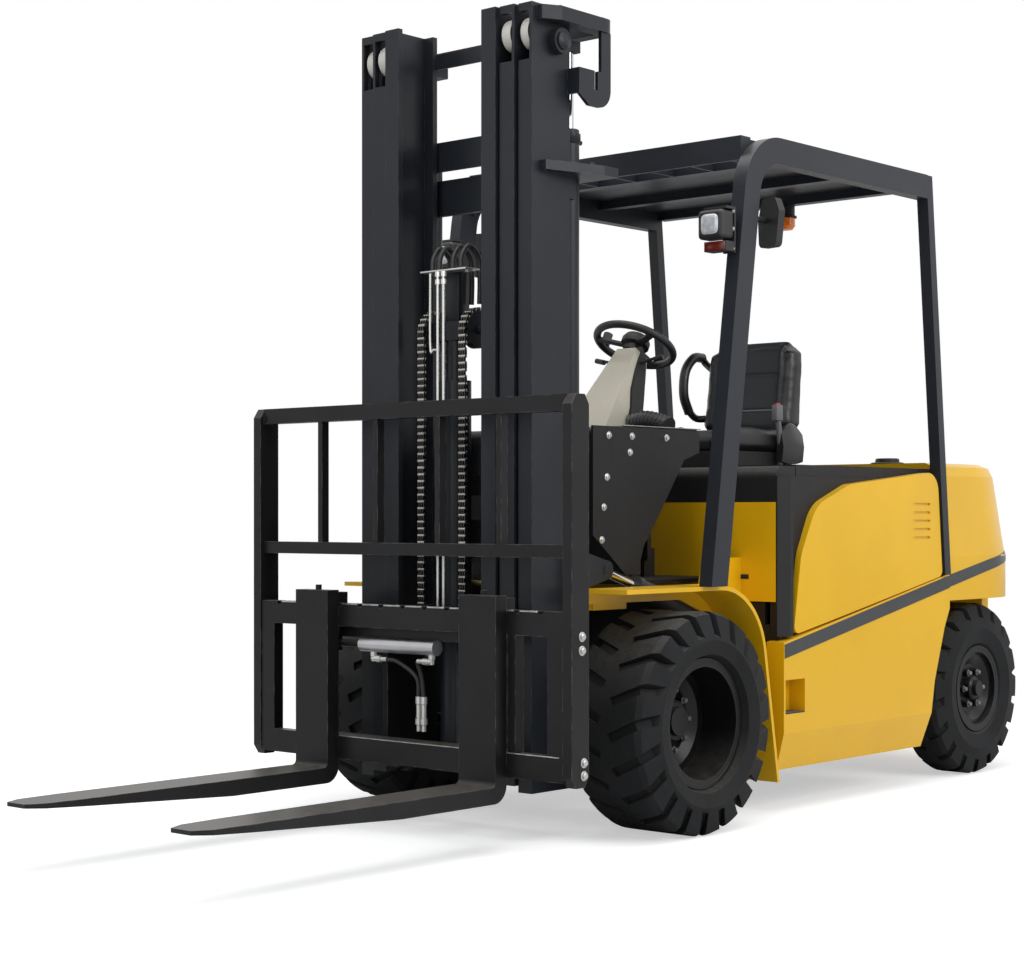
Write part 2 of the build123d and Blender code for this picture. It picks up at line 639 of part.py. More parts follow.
def fork():
    """Left fork: tapered blade with a pointed tip, round heel, shank, hooks and lock knob."""
    x = (FORK_X - FORK_W / 2, FORK_X + FORK_W / 2)
    face = -FORK_FACE
    back = face + FORK_T
    tip = face - FORK_LENGTH
    under = FORK_TOP_Z - FORK_T
    side = [(back, SHANK_TOP_Z), (back, under), (face - 0.35 * FORK_LENGTH, under), (tip,
        FORK_TOP_Z - TIP_T)]
    side += [(tip, FORK_TOP_Z), (face, FORK_TOP_Z), (face, SHANK_TOP_Z)]
    blade = plate_x(side, x)
    bends = blade.edges().filter_by(Axis.X)
    blade = fillet(bends.filter_by(lambda e: e.center().Y > back - 1 and e.center().Z < under + 1), HEEL_R)
    bends = blade.edges().filter_by(Axis.X)
    blade = fillet(bends.filter_by(lambda e: abs(e.center().Y - face) < 1 and e.center().Z < FORK_TOP_Z + 1), 16)
    corner = 95
    plan = [(x[0] + 35, tip), (x[1] - 35, tip), (x[1] - 8, tip + 55), (x[1], tip + 2 * corner), (x[1],
        back + 1)]
    plan += [(x[0], back + 1), (x[0], tip + 2 * corner), (x[0] + 8, tip + 55)]
    blade = blade & plate_z(plan, (0, SHANK_TOP_Z + 1))
    hook_x = (x[0] + 15, x[1] - 15)
    blade += block(hook_x, (back - 1, BAR_BACK + 1 + 14), (TOP_BAR_Z[1] + 1, SHANK_TOP_Z - 8))
    blade += block(hook_x, (BAR_BACK + 1, BAR_BACK + 15), (TOP_BAR_Z[0] + 45, TOP_BAR_Z[1] + 2))
    blade += rod((FORK_X, back - 18, SHANK_TOP_Z - 1), (FORK_X, back - 18, SHANK_TOP_Z + 16), 10)
    return [blade]


def fender():
    """Left fender: top plate, bend round the tyre and rear drop, as one bent sheet."""
    cy, cz = FENDER_BEND
    steep = atan2(FENDER_FOOT[0] - cy - FENDER_BEND_R, cz - FENDER_FOOT[1])
    outer_end = (cy + FENDER_BEND_R * cos(steep), cz + FENDER_BEND_R * sin(steep))
    mid = (cy + FENDER_BEND_R * cos(radians(45)), cz + FENDER_BEND_R * sin(radians(45)))
    r = FENDER_BEND_R - FENDER_T
    inner_end = (cy + r * cos(steep), cz + r * sin(steep))
    inner_mid = (cy + r * cos(radians(45)), cz + r * sin(radians(45)))
    x = FENDER_X[0]

    def at(p):
        return x, p[0], p[1]

    foot_in = (FENDER_FOOT[0] - FENDER_T, FENDER_FOOT[1])
    edges = [Line(at((FENDER_FRONT, FENDER_Z)), at((cy, FENDER_Z))),
             ThreePointArc(at((cy, FENDER_Z)), at(mid), at(outer_end)),
             Line(at(outer_end), at(FENDER_FOOT)), Line(at(FENDER_FOOT), at(foot_in)),
             Line(at(foot_in), at(inner_end)),
             ThreePointArc(at(inner_end), at(inner_mid), at((cy, FENDER_Z - FENDER_T))),
             Line(at((cy, FENDER_Z - FENDER_T)), at((FENDER_FRONT, FENDER_Z - FENDER_T))),
             Line(at((FENDER_FRONT, FENDER_Z - FENDER_T)), at((FENDER_FRONT, FENDER_Z)))]
    return extrude(make_face(edges), FENDER_X[1] - FENDER_X[0], dir=(1, 0, 0))


def stripe_z(y):
    """Height of the stripe's lower edge at y."""
    return STRIPE_FRONT[1] - STRIPE_W + (y - STRIPE_FRONT[0]) * STRIPE_SLOPE


def side_skirt():
    """Left side skirt, with its crease, wheel arch and step pocket."""
    front = SKIRT_FRONT
    top_rear = CW_FRONT - FIT
    outline = [(front, SKIRT_Z), (SKIRT_REAR, SKIRT_Z), (WHEELBASE - 423, 395), (WHEELBASE - 350, 590),
        (top_rear, 662)]
    outline += [(top_rear, stripe_z(top_rear) + STRIPE_W), (front, stripe_z(front) + STRIPE_W)]
    skirt = plate_x(outline, SKIRT_X)
    x1 = SKIRT_X[1]
    skirt -= plate_y([(x1 + 1, SKIRT_Z - 1), (x1 - 32, SKIRT_Z - 1), (x1 + 1, SKIRT_Z + 130)], (front - 1,
        SKIRT_REAR + 400))
    skirt -= block((x1 - 62, x1 + 1), (front + 10, front + 130), (339, 455))
    return [skirt]


def rear_leg_front(z):
    """Where the front face of a rear leg is at height z."""
    foot = stripe_z(REAR_LEG_FOOT_Y + REAR_LEG_T) + STRIPE_W + FIT
    return REAR_LEG_FOOT_Y + (z - foot) / (ROOF_Z - foot) * (REAR_LEG_TOP_Y - REAR_LEG_FOOT_Y)


def side_panel():
    """Left battery side panel, bulged outward, with its louvre slots and an outline swept up to the rear."""
    front = WALL_Y[1] + 53
    low = STRIPE_W + 8
    rear_low = rear_leg_front(CW_SLANT_Z) - 8
    outline = [(front, stripe_z(front) + low), (front + 45, 880), (front + 135, 1050), (front + 347, 1125)]
    outline += [(rear_leg_front(1180) - 8, 1180), (rear_low, stripe_z(rear_low) + low)]
    panel = plate_x(outline, PANEL_X)
    for span, radius in (((1150, 1200), 75), ((800, 1140), 150), ((0, 800), 25)):
        corners = panel.edges().filter_by(Axis.X)
        panel = fillet(corners.filter_by(lambda e: span[0] < e.center().Z < span[1]), radius)
    y0, y1 = front - 1, rear_low + 1
    x0, x1 = PANEL_X[0] - 1, PANEL_X[1]
    edge = x0 + 22
    plan = [Line((x0, y0, 0), (edge, y0, 0)), ThreePointArc((edge, y0, 0), (x1 - 7, (y0 + y1) / 2, 0),
        (x1, y1, 0)),
            Line((x1, y1, 0), (x0, y1, 0)), Line((x0, y1, 0), (x0, y0, 0))]
    panel = panel & extrude(make_face(plan), HOOD_Z[1], dir=(0, 0, 1))
    for i in range(LOUVRES):
        z = 928 + 31 * i
        panel -= block((x1 - 8, x1 + 1), LOUVRE_Y, (z, z + 9))
    return [panel]


def side_trim():
    """Left black surround of the battery panel, with its rounded pillar at the front."""
    rear = SKIRT_REAR + 60
    front = WALL_Y[1] + FIT
    low = STRIPE_W + 6
    top = HOOD_Z[0] - FIT
    outline = [(front, stripe_z(front) + low), (front, top), (rear - 25, top), (rear, 1100)]
    outline += [(rear, stripe_z(rear) + low)]
    x0, x1 = HOOD_X + FIT, PANEL_X[0] + 22
    y0 = WALL_Y[0]
    pillar = plate_z([(x0, y0), (x0 + 6, y0), (x1, y0 + 50), (x1, front + 50), (x0, front + 50)],
                     (stripe_z(front + 50) + low, top))
    return [plate_x(outline, TRIM_X) + pillar]


def step_walls():
    """Yellow front wall of the battery box, with a curb at each side of the footwell."""
    rear = WALL_Y[0]
    wall = block((-HOOD_X, HOOD_X), WALL_Y, (FENDER_Z - 64, 1060))
    z = FENDER_Z
    curb = [(FENDER_FRONT, z), (320, z), (345, z + 86), (rear, z + 86), (rear, z - 304)]
    curb += [(rear - 66, z - 304), (rear - 126, z - 184), (rear - 226, z - 94), (200, z - 49),
        (FENDER_FRONT, z - 49)]
    side = plate_x(curb, (FENDER_X[0] - 12, FENDER_X[0]))
    side += block((402, FENDER_X[0] - 11), (-246, -75), (z - 70, z - 36))
    return [wall] + pair([side])


def hood_sill():
    """Fixed black cross piece in front of the hood, with a rolled front edge."""
    low = 1060
    y0, y1 = WALL_Y[0], HOOD_FRONT - 4
    top = HOOD_Z[1] - 6
    bar = plate_x([(y0, low), (y1, low), (y1, top), (y0, top)], (-HOOD_X, HOOD_X))
    edge = bar.edges().filter_by(Axis.X).filter_by(lambda e: e.center().Y < y0 + 1 and e.center().Z > top - 1)
    return [fillet(edge, 45)]


def hood():
    """Opening hood: top sheet with a turned-down rim."""
    shape = block((-HOOD_X, HOOD_X), (HOOD_FRONT, HOOD_REAR), HOOD_Z)
    x = HOOD_X - HOOD_WALL
    shape -= block((-x, x), (HOOD_FRONT + HOOD_WALL, HOOD_REAR - HOOD_WALL), (HOOD_Z[0] - 1,
        HOOD_Z[1] - HOOD_WALL))
    return [shape]


def chassis_frame():
    """Side plates, cross walls, belly plate, axle saddles and tilt cylinder lugs."""
    front, rear = WALL_Y[1], FRAME_REAR
    inner = TRIM_X[0] - 21
    solids = pair([block((inner, inner + 20), (front, rear), (160, 640))])
    solids.append(block((-inner, inner), (front, rear), (160, BELLY_Z)))
    solids.append(block((-inner, inner), (front, front + 18), (BELLY_Z, FLOOR_Z + 100)))
    solids.append(block((-inner, inner), (rear - 20, rear), (BELLY_Z, 1100)))
    solids += pair([block(SADDLE_X, (150, front), (280, 430))])
    y, z = TILT_REAR
    half = TILT_EYE_W / 2 + 1
    ear = half + 12
    lug = block((TILT_X - ear, TILT_X + ear), (y + 50, front), (z - 50, z + 50))
    for x in ((TILT_X - ear, TILT_X - half), (TILT_X + half, TILT_X + ear)):
        lug += block(x, (y, y + 51), (z - 36, z + 36))
        lug += rod((x[0], y, z), (x[1], y, z), 36)
    lug += rod((TILT_X - ear, y, z), (TILT_X + ear, y, z), TILT_PIN_R)
    solids += pair([lug])
    tail = CW_FRONT - FIT
    solids += pair([block((500, 560), (rear, tail), (CW_Z[0] + 10, CW_SLANT_Z))])
    solids.append(block((-500, 500), (rear, tail), (CW_Z[0] + 10, 720)))
    return solids


def counterweight_outline(half, rear, z):
    """Outline of the counterweight at height z: straight sides, round corners and a shallow round back."""
    radius = CW_CORNER_R - (CW_X - half)
    straight = rear - CW_BULGE - radius
    dx = half - radius
    corner = pi / 2 - 2 * atan2(CW_BULGE, dx)
    extra = dx / cos(corner)
    big_y = straight - extra * sin(corner)
    front = CW_CROWN_FRONT
    join = (dx + radius * cos(corner), straight + radius * sin(corner))
    mid = (dx + radius * cos(corner / 2), straight + radius * sin(corner / 2))
    edges = [Line((-half, front, z), (half, front, z)), Line((half, front, z), (half, straight, z)),
             ThreePointArc((half, straight, z), (mid[0], mid[1], z), (join[0], join[1], z)),
             ThreePointArc((join[0], join[1], z), (0, big_y + radius + extra, z), (-join[0], join[1], z)),
             ThreePointArc((-join[0], join[1], z), (-mid[0], mid[1], z), (-half, straight, z)),
             Line((-half, straight, z), (-half, front, z))]
    return make_face(edges)


def counterweight():
    """Cast counterweight, sloped above its crease, with a round crown, wheel clearances and a tow pocket."""
    front = CW_CROWN_FRONT
    foot = counterweight_outline(CW_X, REAR_REACH, CW_FOOT_Z)
    body = extrude(foot, CREASE_Z - CW_FOOT_Z, dir=(0, 0, 1))
    rise = CW_Z[1] - CREASE_Z
    sections = [counterweight_outline(CW_X, REAR_REACH - CW_STEP, CREASE_Z)]
    for share, inset in CW_CROWN:
        slope = CW_STEP + CW_SLOPE * share
        z = CREASE_Z + rise * share
        sections.append(counterweight_outline(CW_X - CW_TOP_IN * share - inset,
            REAR_REACH - slope - inset, z))
    body += loft(sections, ruled=True)
    body -= plate_x([(front - 1, 0), (CW_FRONT, 0), (CW_FRONT, CW_SLANT_Z), (front, CW_Z[1]), (front - 1,
        CW_Z[1])],
                    (-800, 800))
    body -= block((-800, 800), (CW_FRONT - 1, WHEELBASE + SWEEP_R - 80), (0, CW_Z[0]))
    body -= block((CW_FOOT_X, 800), (CW_FRONT - 1, REAR_REACH + 1), (0, CW_Z[0]))
    body -= block((-800, -CW_FOOT_X), (CW_FRONT - 1, REAR_REACH + 1), (0, CW_Z[0]))
    for side in (1, -1):
        body -= rod((side * KINGPIN_X, WHEELBASE, 0), (side * KINGPIN_X, WHEELBASE, CW_Z[0]), SWEEP_R)
    body -= block((-60, 60), (REAR_REACH - 120, REAR_REACH + 1), TOW_Z)
    return [body]


def tow_pin():
    """Towing pin through the pocket in the counterweight."""
    y = REAR_REACH - 50
    return [rod((0, y, TOW_Z[0]), (0, y, TOW_Z[1] - FIT), 16)]


def steer_axle():
    """Steer axle: box beam with forked ends for the kingpins, and its pivot mounting."""
    z0, z1 = BEAM_Z
    y = WHEELBASE
    beam = block((-320, 320), (y - 40, y + 40), (z0 + 40, z1 - 40))
    beam += block((-90, 90), (y - 60, y + 60), (z0 + 20, z1 - 20))
    for side in (1, -1):
        for z in ((z0, z0 + BEAM_PLATE), (z1 - BEAM_PLATE, z1)):
            arm = block(sorted((side * 280, side * KINGPIN_X)), (y - BEAM_HALF_Y, y + BEAM_HALF_Y), z)
            arm += rod((side * KINGPIN_X, y, z[0]), (side * KINGPIN_X, y, z[1]), BEAM_HALF_Y)
            beam += arm
        beam += block(sorted((side * 280, side * 330)), (y - 40, y + 40), BEAM_Z)
        beam -= rod((side * KINGPIN_X, y, z0 - 1), (side * KINGPIN_X, y, z1 + 1), KINGPIN_R + 0.1)
    beam += block((-70, 70), (y - 60, y + 60), (z1 - 21, CW_Z[0] - 0.1))
    return [beam]


def knuckle():
    """Left steering knuckle with its kingpin and wheel spindle."""
    z0, z1 = BEAM_Z
    y, z = WHEELBASE, REAR_AXLE_Z
    shape = rod((KINGPIN_X, y, z0), (KINGPIN_X, y, z1), KINGPIN_R)
    shape += rod((KINGPIN_X, y, z0 + BEAM_PLATE + RUN), (KINGPIN_X, y, z1 - BEAM_PLATE - RUN), KNUCKLE_R)
    shape += rod((KINGPIN_X, y, z), (REAR_DISC_X - RUN, y, z), SPINDLE_R)
    shape += rod((REAR_DISC_X - 40, y, z), (REAR_DISC_X - RUN, y, z), 70)
    return [shape]


def guard_lean():
    """How far the front legs lean back, in radians."""
    rise = ROOF_Z - GUARD_BEND_R - FENDER_Z
    return atan2(GUARD_TOP_Y - GUARD_FOOT_Y, rise)


def leg_front(z):
    """Where the front face of a front leg is at height z."""
    lean = guard_lean()
    bend_start = ROOF_Z - GUARD_BEND_R + GUARD_BEND_R * sin(lean)
    return GUARD_TOP_Y - (bend_start - z) * sin(lean) / cos(lean)


def guard_front_leg():
    """Left front leg and side rail of the overhead guard, bent from one tube."""
    x = GUARD_X
    lean = guard_lean()
    r = GUARD_BEND_R
    c = (GUARD_TOP_Y + r * cos(lean), ROOF_Z - r)
    start = (c[0] - r * cos(lean), c[1] + r * sin(lean))
    half_turn = (pi - lean + pi / 2) / 2
    rail_end = rear_leg_front(ROOF_Z - GUARD_DEPTH)
    inner = r - GUARD_DEPTH

    def at(p):
        return x[0], p[0], p[1]

    def ring(q, a):
        return c[0] + q * cos(a), c[1] + q * sin(a)

    length = (start[1] - FENDER_Z) / cos(lean)
    foot_out = (start[0] - length * sin(lean), FENDER_Z)
    start_in = ring(inner, pi - lean)
    foot_in = (start_in[0] - (start_in[1] - FENDER_Z) * sin(lean) / cos(lean), FENDER_Z)
    edges = [Line(at(foot_out), at(start)), ThreePointArc(at(start), at(ring(r, half_turn)), at(ring(r,
        pi / 2))),
             Line(at(ring(r, pi / 2)), at((REAR_LEG_TOP_Y, ROOF_Z))),
             Line(at((REAR_LEG_TOP_Y, ROOF_Z)), at((rail_end, ROOF_Z - GUARD_DEPTH))),
             Line(at((rail_end, ROOF_Z - GUARD_DEPTH)), at(ring(inner, pi / 2))),
             ThreePointArc(at(ring(inner, pi / 2)), at(ring(inner, half_turn)), at(start_in)),
             Line(at(start_in), at(foot_in)), Line(at(foot_in), at(foot_out))]
    return [extrude(make_face(edges), x[1] - x[0], dir=(1, 0, 0))]


def guard_rear_leg():
    """Left rear leg of the overhead guard, standing on the skirt."""
    foot = stripe_z(REAR_LEG_FOOT_Y + REAR_LEG_T) + STRIPE_W + FIT
    outline = [(REAR_LEG_FOOT_Y, foot), (REAR_LEG_FOOT_Y + REAR_LEG_T, foot)]
    outline += [(REAR_LEG_TOP_Y + REAR_LEG_T, ROOF_Z), (REAR_LEG_TOP_Y, ROOF_Z)]
    return [plate_x(outline, REAR_LEG_X)]


def roof():
    """Roof of the overhead guard: header with corner gussets, cross beam, slats and the rear sheet."""
    x = GUARD_X[0]
    top = ROOF_Z - 6
    z = (ROOF_Z - ROOF_T, top)
    y = ROOF_FRONT
    solids = [block((-x, x), (y, y + ROOF_PLATE), (top - HEADER_DEPTH, top))]
    solids.append(block((-x, x), (y + ROOF_PLATE, y + ROOF_PLATE + ROOF_BEAM), (top - ROOF_SHEET, top)))
    gusset = [(y + ROOF_PLATE, top - ROOF_SHEET), (y + GUSSET[0], top - ROOF_SHEET), (y + ROOF_PLATE,
        top - GUSSET[1])]
    solids += pair([plate_x(gusset, (x - ROOF_PLATE, x))])
    cross = y + ROOF_CROSS
    solids.append(block((-x, x), (cross, cross + ROOF_BEAM), z))
    for i in range(SLATS):
        sx = -x + 2 * x * (i + 1) / (SLATS + 1)
        solids.append(block((sx - SLAT_T / 2, sx + SLAT_T / 2), (y + ROOF_PLATE + ROOF_BEAM, cross), z))
    rear = ROOF_REAR - ROOF_BEAM
    solids.append(block((-x, x), (cross + ROOF_BEAM, rear), (top - ROOF_SHEET, top)))
    middle = (cross + ROOF_BEAM + rear) / 2
    solids.append(block((-x, x), (middle, middle + ROOF_BEAM), (z[0], top - ROOF_SHEET)))
    solids.append(block((-x, x), (rear, ROOF_REAR), z))
    return solids


def cowl():
    """Dash housing in front of the driver, open below for the feet, with a rolled rear edge."""
    y0, y1 = COWL_Y
    outline = [(y0, FLOOR_Z + FIT), (y0 + 40, FLOOR_Z + FIT), (y0 + 70, 1120), (y1, 1230), (y1, COWL_TOP)]
    outline += [(y0, COWL_TOP)]
    body = plate_x(outline, (-COWL_X, COWL_X))
    top = body.edges().filter_by(Axis.X).filter_by(lambda e: e.center().Z > COWL_TOP - 1)
    return [fillet(top, 25)]


def cowl_plates():
    """Side plates of the cowl, reaching forward beside the mast."""
    outline = [(-145, 1305), (350, 1305), (380, 1290), (380, 1240), (165, FLOOR_Z + 160),
               (125, FLOOR_Z + 115), (105, FLOOR_Z + 60), (105, FLOOR_Z + 20)]
    outline += [(25, FLOOR_Z + 20), (-65, FLOOR_Z + 90), (-145, FLOOR_Z + 150)]
    return pair([plate_x(outline, (COWL_X, COWL_X + COWL_PLATE_T))])


def column_point(along, across=0):
    """A point on the steering column's axis, measured down from the wheel's centre."""
    a = radians(COLUMN_TILT)
    y = WHEEL_CENTRE[0] - along * sin(a) + across * cos(a)
    z = WHEEL_CENTRE[1] - along * cos(a) - across * sin(a)
    return (0, y, z)


def steering_wheel():
    """Steering wheel with three spokes and a spinner knob."""
    a = COLUMN_TILT
    place = Pos(*column_point(0)) * Rot(-a, 0, 0)
    wheel = Torus(WHEEL_R - WHEEL_RIM_R, WHEEL_RIM_R)
    wheel += Pos(0, 0, -12) * Cylinder(38, 36)
    for i in range(3):
        wheel += Rot(0, 0, 90 + 120 * i) * Pos((WHEEL_R - 10) / 2, 0, -8) * Box(WHEEL_R - 20, 26, 9)
    wheel += Pos(-(WHEEL_R - WHEEL_RIM_R), 0, 32) * Cylinder(17, 48)
    return [place * wheel]


def steering_column():
    """Tapered column cover between the cowl and the steering wheel."""
    place = Pos(*column_point(0)) * Rot(-COLUMN_TILT, 0, 0)
    top = Pos(0, 0, -36) * Rectangle(84, 74)
    waist = Pos(0, 0, -120) * Rectangle(112, 104)
    foot = Pos(0, -10, -420) * Rectangle(190, 210)
    cover = loft([top, waist, foot], ruled=True)
    floor = block((-300, 300), (-300, 900), (0, COWL_TOP))
    return [place * cover - floor + rod(column_point(37), column_point(31), 30)]


def controls():
    """Hydraulic levers on the cowl and two pedals on the floor."""
    solids = []
    for i in range(3):
        x = -180 - 55 * i
        stalk = rod((x, 250, COWL_TOP), (x, 250, COWL_TOP + 20), 9)
        stalk += rod((x, 250, COWL_TOP + 14), (x, 285, 1430), 6)
        stalk += Pos(x, 288, 1440) * Sphere(17)
        solids.append(stalk)
    for x in (90, 190):
        pedal = block((x - 30, x + 30), (330, 350), (FLOOR_Z + 60, FLOOR_Z + 170))
        pedal += block((x - 8, x + 8), (340, 400), (FLOOR_Z + FIT, FLOOR_Z + 100))
        solids.append(pedal)
    return solids


def floor_plate():
    """Floor plate of the footwell."""
    return [block((-350, 350), (COWL_Y[0], WALL_Y[0]), (FLOOR_Z - FLOOR_T, FLOOR_Z))]


def seat():
    """Seat base with its slides, a cushion with a rolled front and a winged backrest."""
    z = HOOD_Z[1]
    half = SEAT_W / 2
    base = block((-half + 30, half - 30), (SEAT_Y - 200, SEAT_Y + 230), (z, z + SEAT_BASE_H))
    low = z + SEAT_BASE_H + FIT
    top = z + SEAT_TOP_H
    front, rear = SEAT_Y - SEAT_L / 2, SEAT_Y + SEAT_L / 2
    cushion = plate_x([(front, low + 20), (front + 25, low), (rear, low), (rear, top - 25), (front + 60,
        top - 10),
                       (front + 15, top - 25)], (-half, half))
    for side in (1, -1):
        x = sorted((side * (half - BOLSTER_W), side * half))
        cushion += plate_x([(front + 70, top - 30), (rear, top - 30), (rear, top - FIT), (front + 140,
            top - FIT)], x)
    lean = [(rear - 30, top), (rear + 80, top), (rear + 190, SEAT_BACK_Z), (rear + 115, SEAT_BACK_Z)]
    back = plate_x(lean, (-half, half))
    shape = [(-half, top - 1), (half, top - 1), (half, top + 120), (half - 25, SEAT_BACK_Z - 60)]
    shape += [(half - 90, SEAT_BACK_Z), (90 - half, SEAT_BACK_Z), (25 - half, SEAT_BACK_Z - 60), (-half,
        top + 120)]
    back = back & plate_y(shape, (rear - 100, rear + 300))
    for side in (1, -1):
        x = sorted((side * (half - BOLSTER_W), side * (half - 12)))
        back += plate_x([(rear - 30, top), (rear - 10, top), (rear + 55, top + 200), (rear + 60, top + 250),
                         (rear, top + 190), (rear - 45, top + 60)], x)
    return base, cushion, back


def headlamps():
    """Headlamps on the guard's front legs, each with an indicator under it."""
    low, high = 1915, 2010
    bracket = block((600, 645), (LAMP_Y, LAMP_Y + 8), (1872, high + 12))
    bracket += block((612, 633), (LAMP_Y, leg_front(1960) - FIT), (1960, 1990))
    bracket += block((555, 645), (LAMP_Y - 45, LAMP_Y), (high + 4, high + 12))
    lamp = fillet(block((545, 645), (LAMP_Y - 70, LAMP_Y), (low, high)).edges(), 14)
    bracket += lamp
    bracket += block((560, 645), (LAMP_Y - 50, LAMP_Y), (1876, 1908))
    return pair([bracket])


def mirrors():
    """Rear view mirrors in rounded housings, on short arms behind the front legs."""
    start = leg_front(2009) + GUARD_DEPTH / cos(guard_lean()) + FIT
    arm = rod((630, start, 2000), (630, 450, 2000), 9)
    outline = [(-45, -80), (35, -80), (50, 40), (30, 85), (-30, 85), (-50, 10)]
    housing = plate_y(outline, (-14, 14))
    housing = fillet(housing.edges().filter_by(Axis.Y), 18)
    housing = Pos(645, 452, 1990) * Rot(0, 0, -12) * housing
    return pair([arm + housing])


def beacon():
    """Warning beacon hanging under the rear of the roof: base, body and amber dome."""
    y = ROOF_REAR - ROOF_BEAM / 2
    top = ROOF_Z - ROOF_T - FIT
    profile = [(0, top), (38, top), (38, top - 36), (46, top - 40), (46, top - 46), (40, top - 48)]
    profile += [(40, top - 78), (30, top - 92), (0, top - 96)]
    outline = Polyline(*[(r, y, z) for r, z in profile], close=True)
    return [revolve(make_face(outline), Axis((0, y, 0), (0, 0, 1)))]


def battery():
    """Battery block inside the chassis."""
    return [block((-BATTERY_W / 2, BATTERY_W / 2), BATTERY_Y, (BELLY_Z, BELLY_Z + BATTERY_H))]


def save(name, solids):
    """Move the solids to the truck's own frame and write them as one node."""
    moved = [Pos(0, CENTRE_SHIFT, 0) * s for s in solids]
    export_step(Compound([s for m in moved for s in m.solids()]), os.path.join("parts", name + ".step"))


def main():
    """Write every sub-part."""
    os.makedirs("parts", exist_ok=True)
    front_tyre = tyre(FRONT_TYRE_W, FRONT_TYRE_D / 2, FRONT_BEAD_R, FRONT_FLANGE_R, FRONT_RIM_W, FRONT_LUGS,
                      FRONT_LUG_DEPTH, FRONT_WHEEL_X, 0)
    front_rim = rim(FRONT_RIM_W, FRONT_BEAD_R, FRONT_FLANGE_R, FRONT_DISC_X, FRONT_WHEEL_X, 0, FRONT_AXLE_Z,
                    68, 585, FRONT_NUTS, FRONT_NUT_CIRCLE)
    rear_tyre = tyre(REAR_TYRE_W, REAR_TYRE_D / 2, REAR_BEAD_R, REAR_FLANGE_R, REAR_RIM_W, REAR_LUGS,
                     REAR_LUG_DEPTH, REAR_WHEEL_X, WHEELBASE)
    rear_rim = rim(REAR_RIM_W, REAR_BEAD_R, REAR_FLANGE_R, REAR_DISC_X, REAR_WHEEL_X, WHEELBASE,
        REAR_AXLE_Z,
                   45, 575, REAR_NUTS, REAR_NUT_CIRCLE)
    for name, solid in (("front_tyre", front_tyre), ("front_rim", front_rim), ("rear_tyre", rear_tyre),
                        ("rear_rim", rear_rim), ("knuckle", knuckle()[0]), ("tilt_barrel",
                        tilt_barrel()[0]),
                        ("tilt_rod", tilt_rod()[0]), ("fork", fork()[0])):
        save(name + "_left", [solid])
        save(name + "_right", [flip(solid)])
    base, cushion, back = seat()
    save("seat_base", [base])
    save("seat_cushion", [cushion])
    save("seat_backrest", [back])
    save("fenders", pair([fender()]))
    save("side_skirts", pair(side_skirt()))
    save("side_panels", pair(side_panel()))
    save("side_trims", pair(side_trim()) + hood_sill())
    save("guard_front_legs", pair(guard_front_leg()))
    save("guard_rear_legs", pair(guard_rear_leg()))
    for make in (drive_axle, mast_outer, lift_cylinders, lift_rods, mast_mid, mast_inner, free_cylinder,
                 crosshead, chain_front, chain_upper, chain_lower, carriage, shift_cylinder, shift_frame,
                 load_backrest, step_walls, hood, chassis_frame, counterweight, tow_pin, steer_axle, roof,
                 cowl,
                 cowl_plates, steering_wheel, steering_column, controls, floor_plate, headlamps, mirrors,
                 beacon,
                 battery):
        save(make.__name__, make())


main()
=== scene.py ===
import json
from math import cos, exp, pi, radians, sin
import bmesh
import bpy
from mathutils import Matrix, Vector
from mathutils.bvhtree import BVHTree


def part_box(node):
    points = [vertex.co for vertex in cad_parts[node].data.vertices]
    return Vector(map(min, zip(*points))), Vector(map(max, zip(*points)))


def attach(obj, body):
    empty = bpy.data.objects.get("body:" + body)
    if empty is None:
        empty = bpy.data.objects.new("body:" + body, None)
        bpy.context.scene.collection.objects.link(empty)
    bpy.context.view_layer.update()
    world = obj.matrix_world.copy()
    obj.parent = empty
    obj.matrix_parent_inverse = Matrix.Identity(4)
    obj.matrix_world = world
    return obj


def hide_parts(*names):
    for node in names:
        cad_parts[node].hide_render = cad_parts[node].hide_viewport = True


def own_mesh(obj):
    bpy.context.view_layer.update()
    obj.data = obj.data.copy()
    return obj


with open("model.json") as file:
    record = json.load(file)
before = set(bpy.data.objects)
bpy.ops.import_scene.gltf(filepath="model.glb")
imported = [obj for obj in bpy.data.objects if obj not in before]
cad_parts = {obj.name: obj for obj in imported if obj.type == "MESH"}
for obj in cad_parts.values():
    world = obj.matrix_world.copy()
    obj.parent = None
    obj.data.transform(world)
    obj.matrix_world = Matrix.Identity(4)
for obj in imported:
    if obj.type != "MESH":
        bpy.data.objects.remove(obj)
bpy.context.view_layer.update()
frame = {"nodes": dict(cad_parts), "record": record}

NODES = frame["nodes"]
SIDES = (("left", 1), ("right", -1))
X_AXIS, Y_AXIS, UP = (1, 0, 0), (0, 1, 0), (0, 0, 1)

# Scene y of the front axle, in metres
SHIFT = -0.347

# Places and sizes in the construction frame: millimetres from the front axle, the middle and the ground.
# The stripe's slope is a ratio and the column's tilt is in degrees
SKIRT_FRONT, SKIRT_REAR, CW_FRONT, CW_MIDDLE = 556, 1688, 1690, 1735
STRIPE_SLOPE, STRIPE_WIDE = 0.186, 48
BAR_FACE, TOP_BAR, LOW_BAR, NOTCH_PITCH = -656, 730, 301, 95
SHEAVE_Y, SHEAVE_Z, SHEAVE_RING = -405, 1610, 66.6
ROLLER_Z, HEAD_TOP = 2520, 2599
LAMP_X, LAMP_Z, LAMP_FACE, BRACKET_X, BRACKET_FACE, INDICATOR_X = 595, 1962.5, 165.5, 638, 235.5, 602.5
PIPE_Y, PIPE_FOOT, ANCHOR_Z = -478, 700, 1800
CYLINDER_Y, HOSE_END_Z = -631.7, 556
BACKREST_SIDE, COWL_SIDE, FRAME_SIDE = 692, 360, 446
COLUMN_TILT, WHEEL_CENTRE = 28, (0, 546, 1626)
CELL_PITCH_X, CELL_PITCH_Y = 126, 210

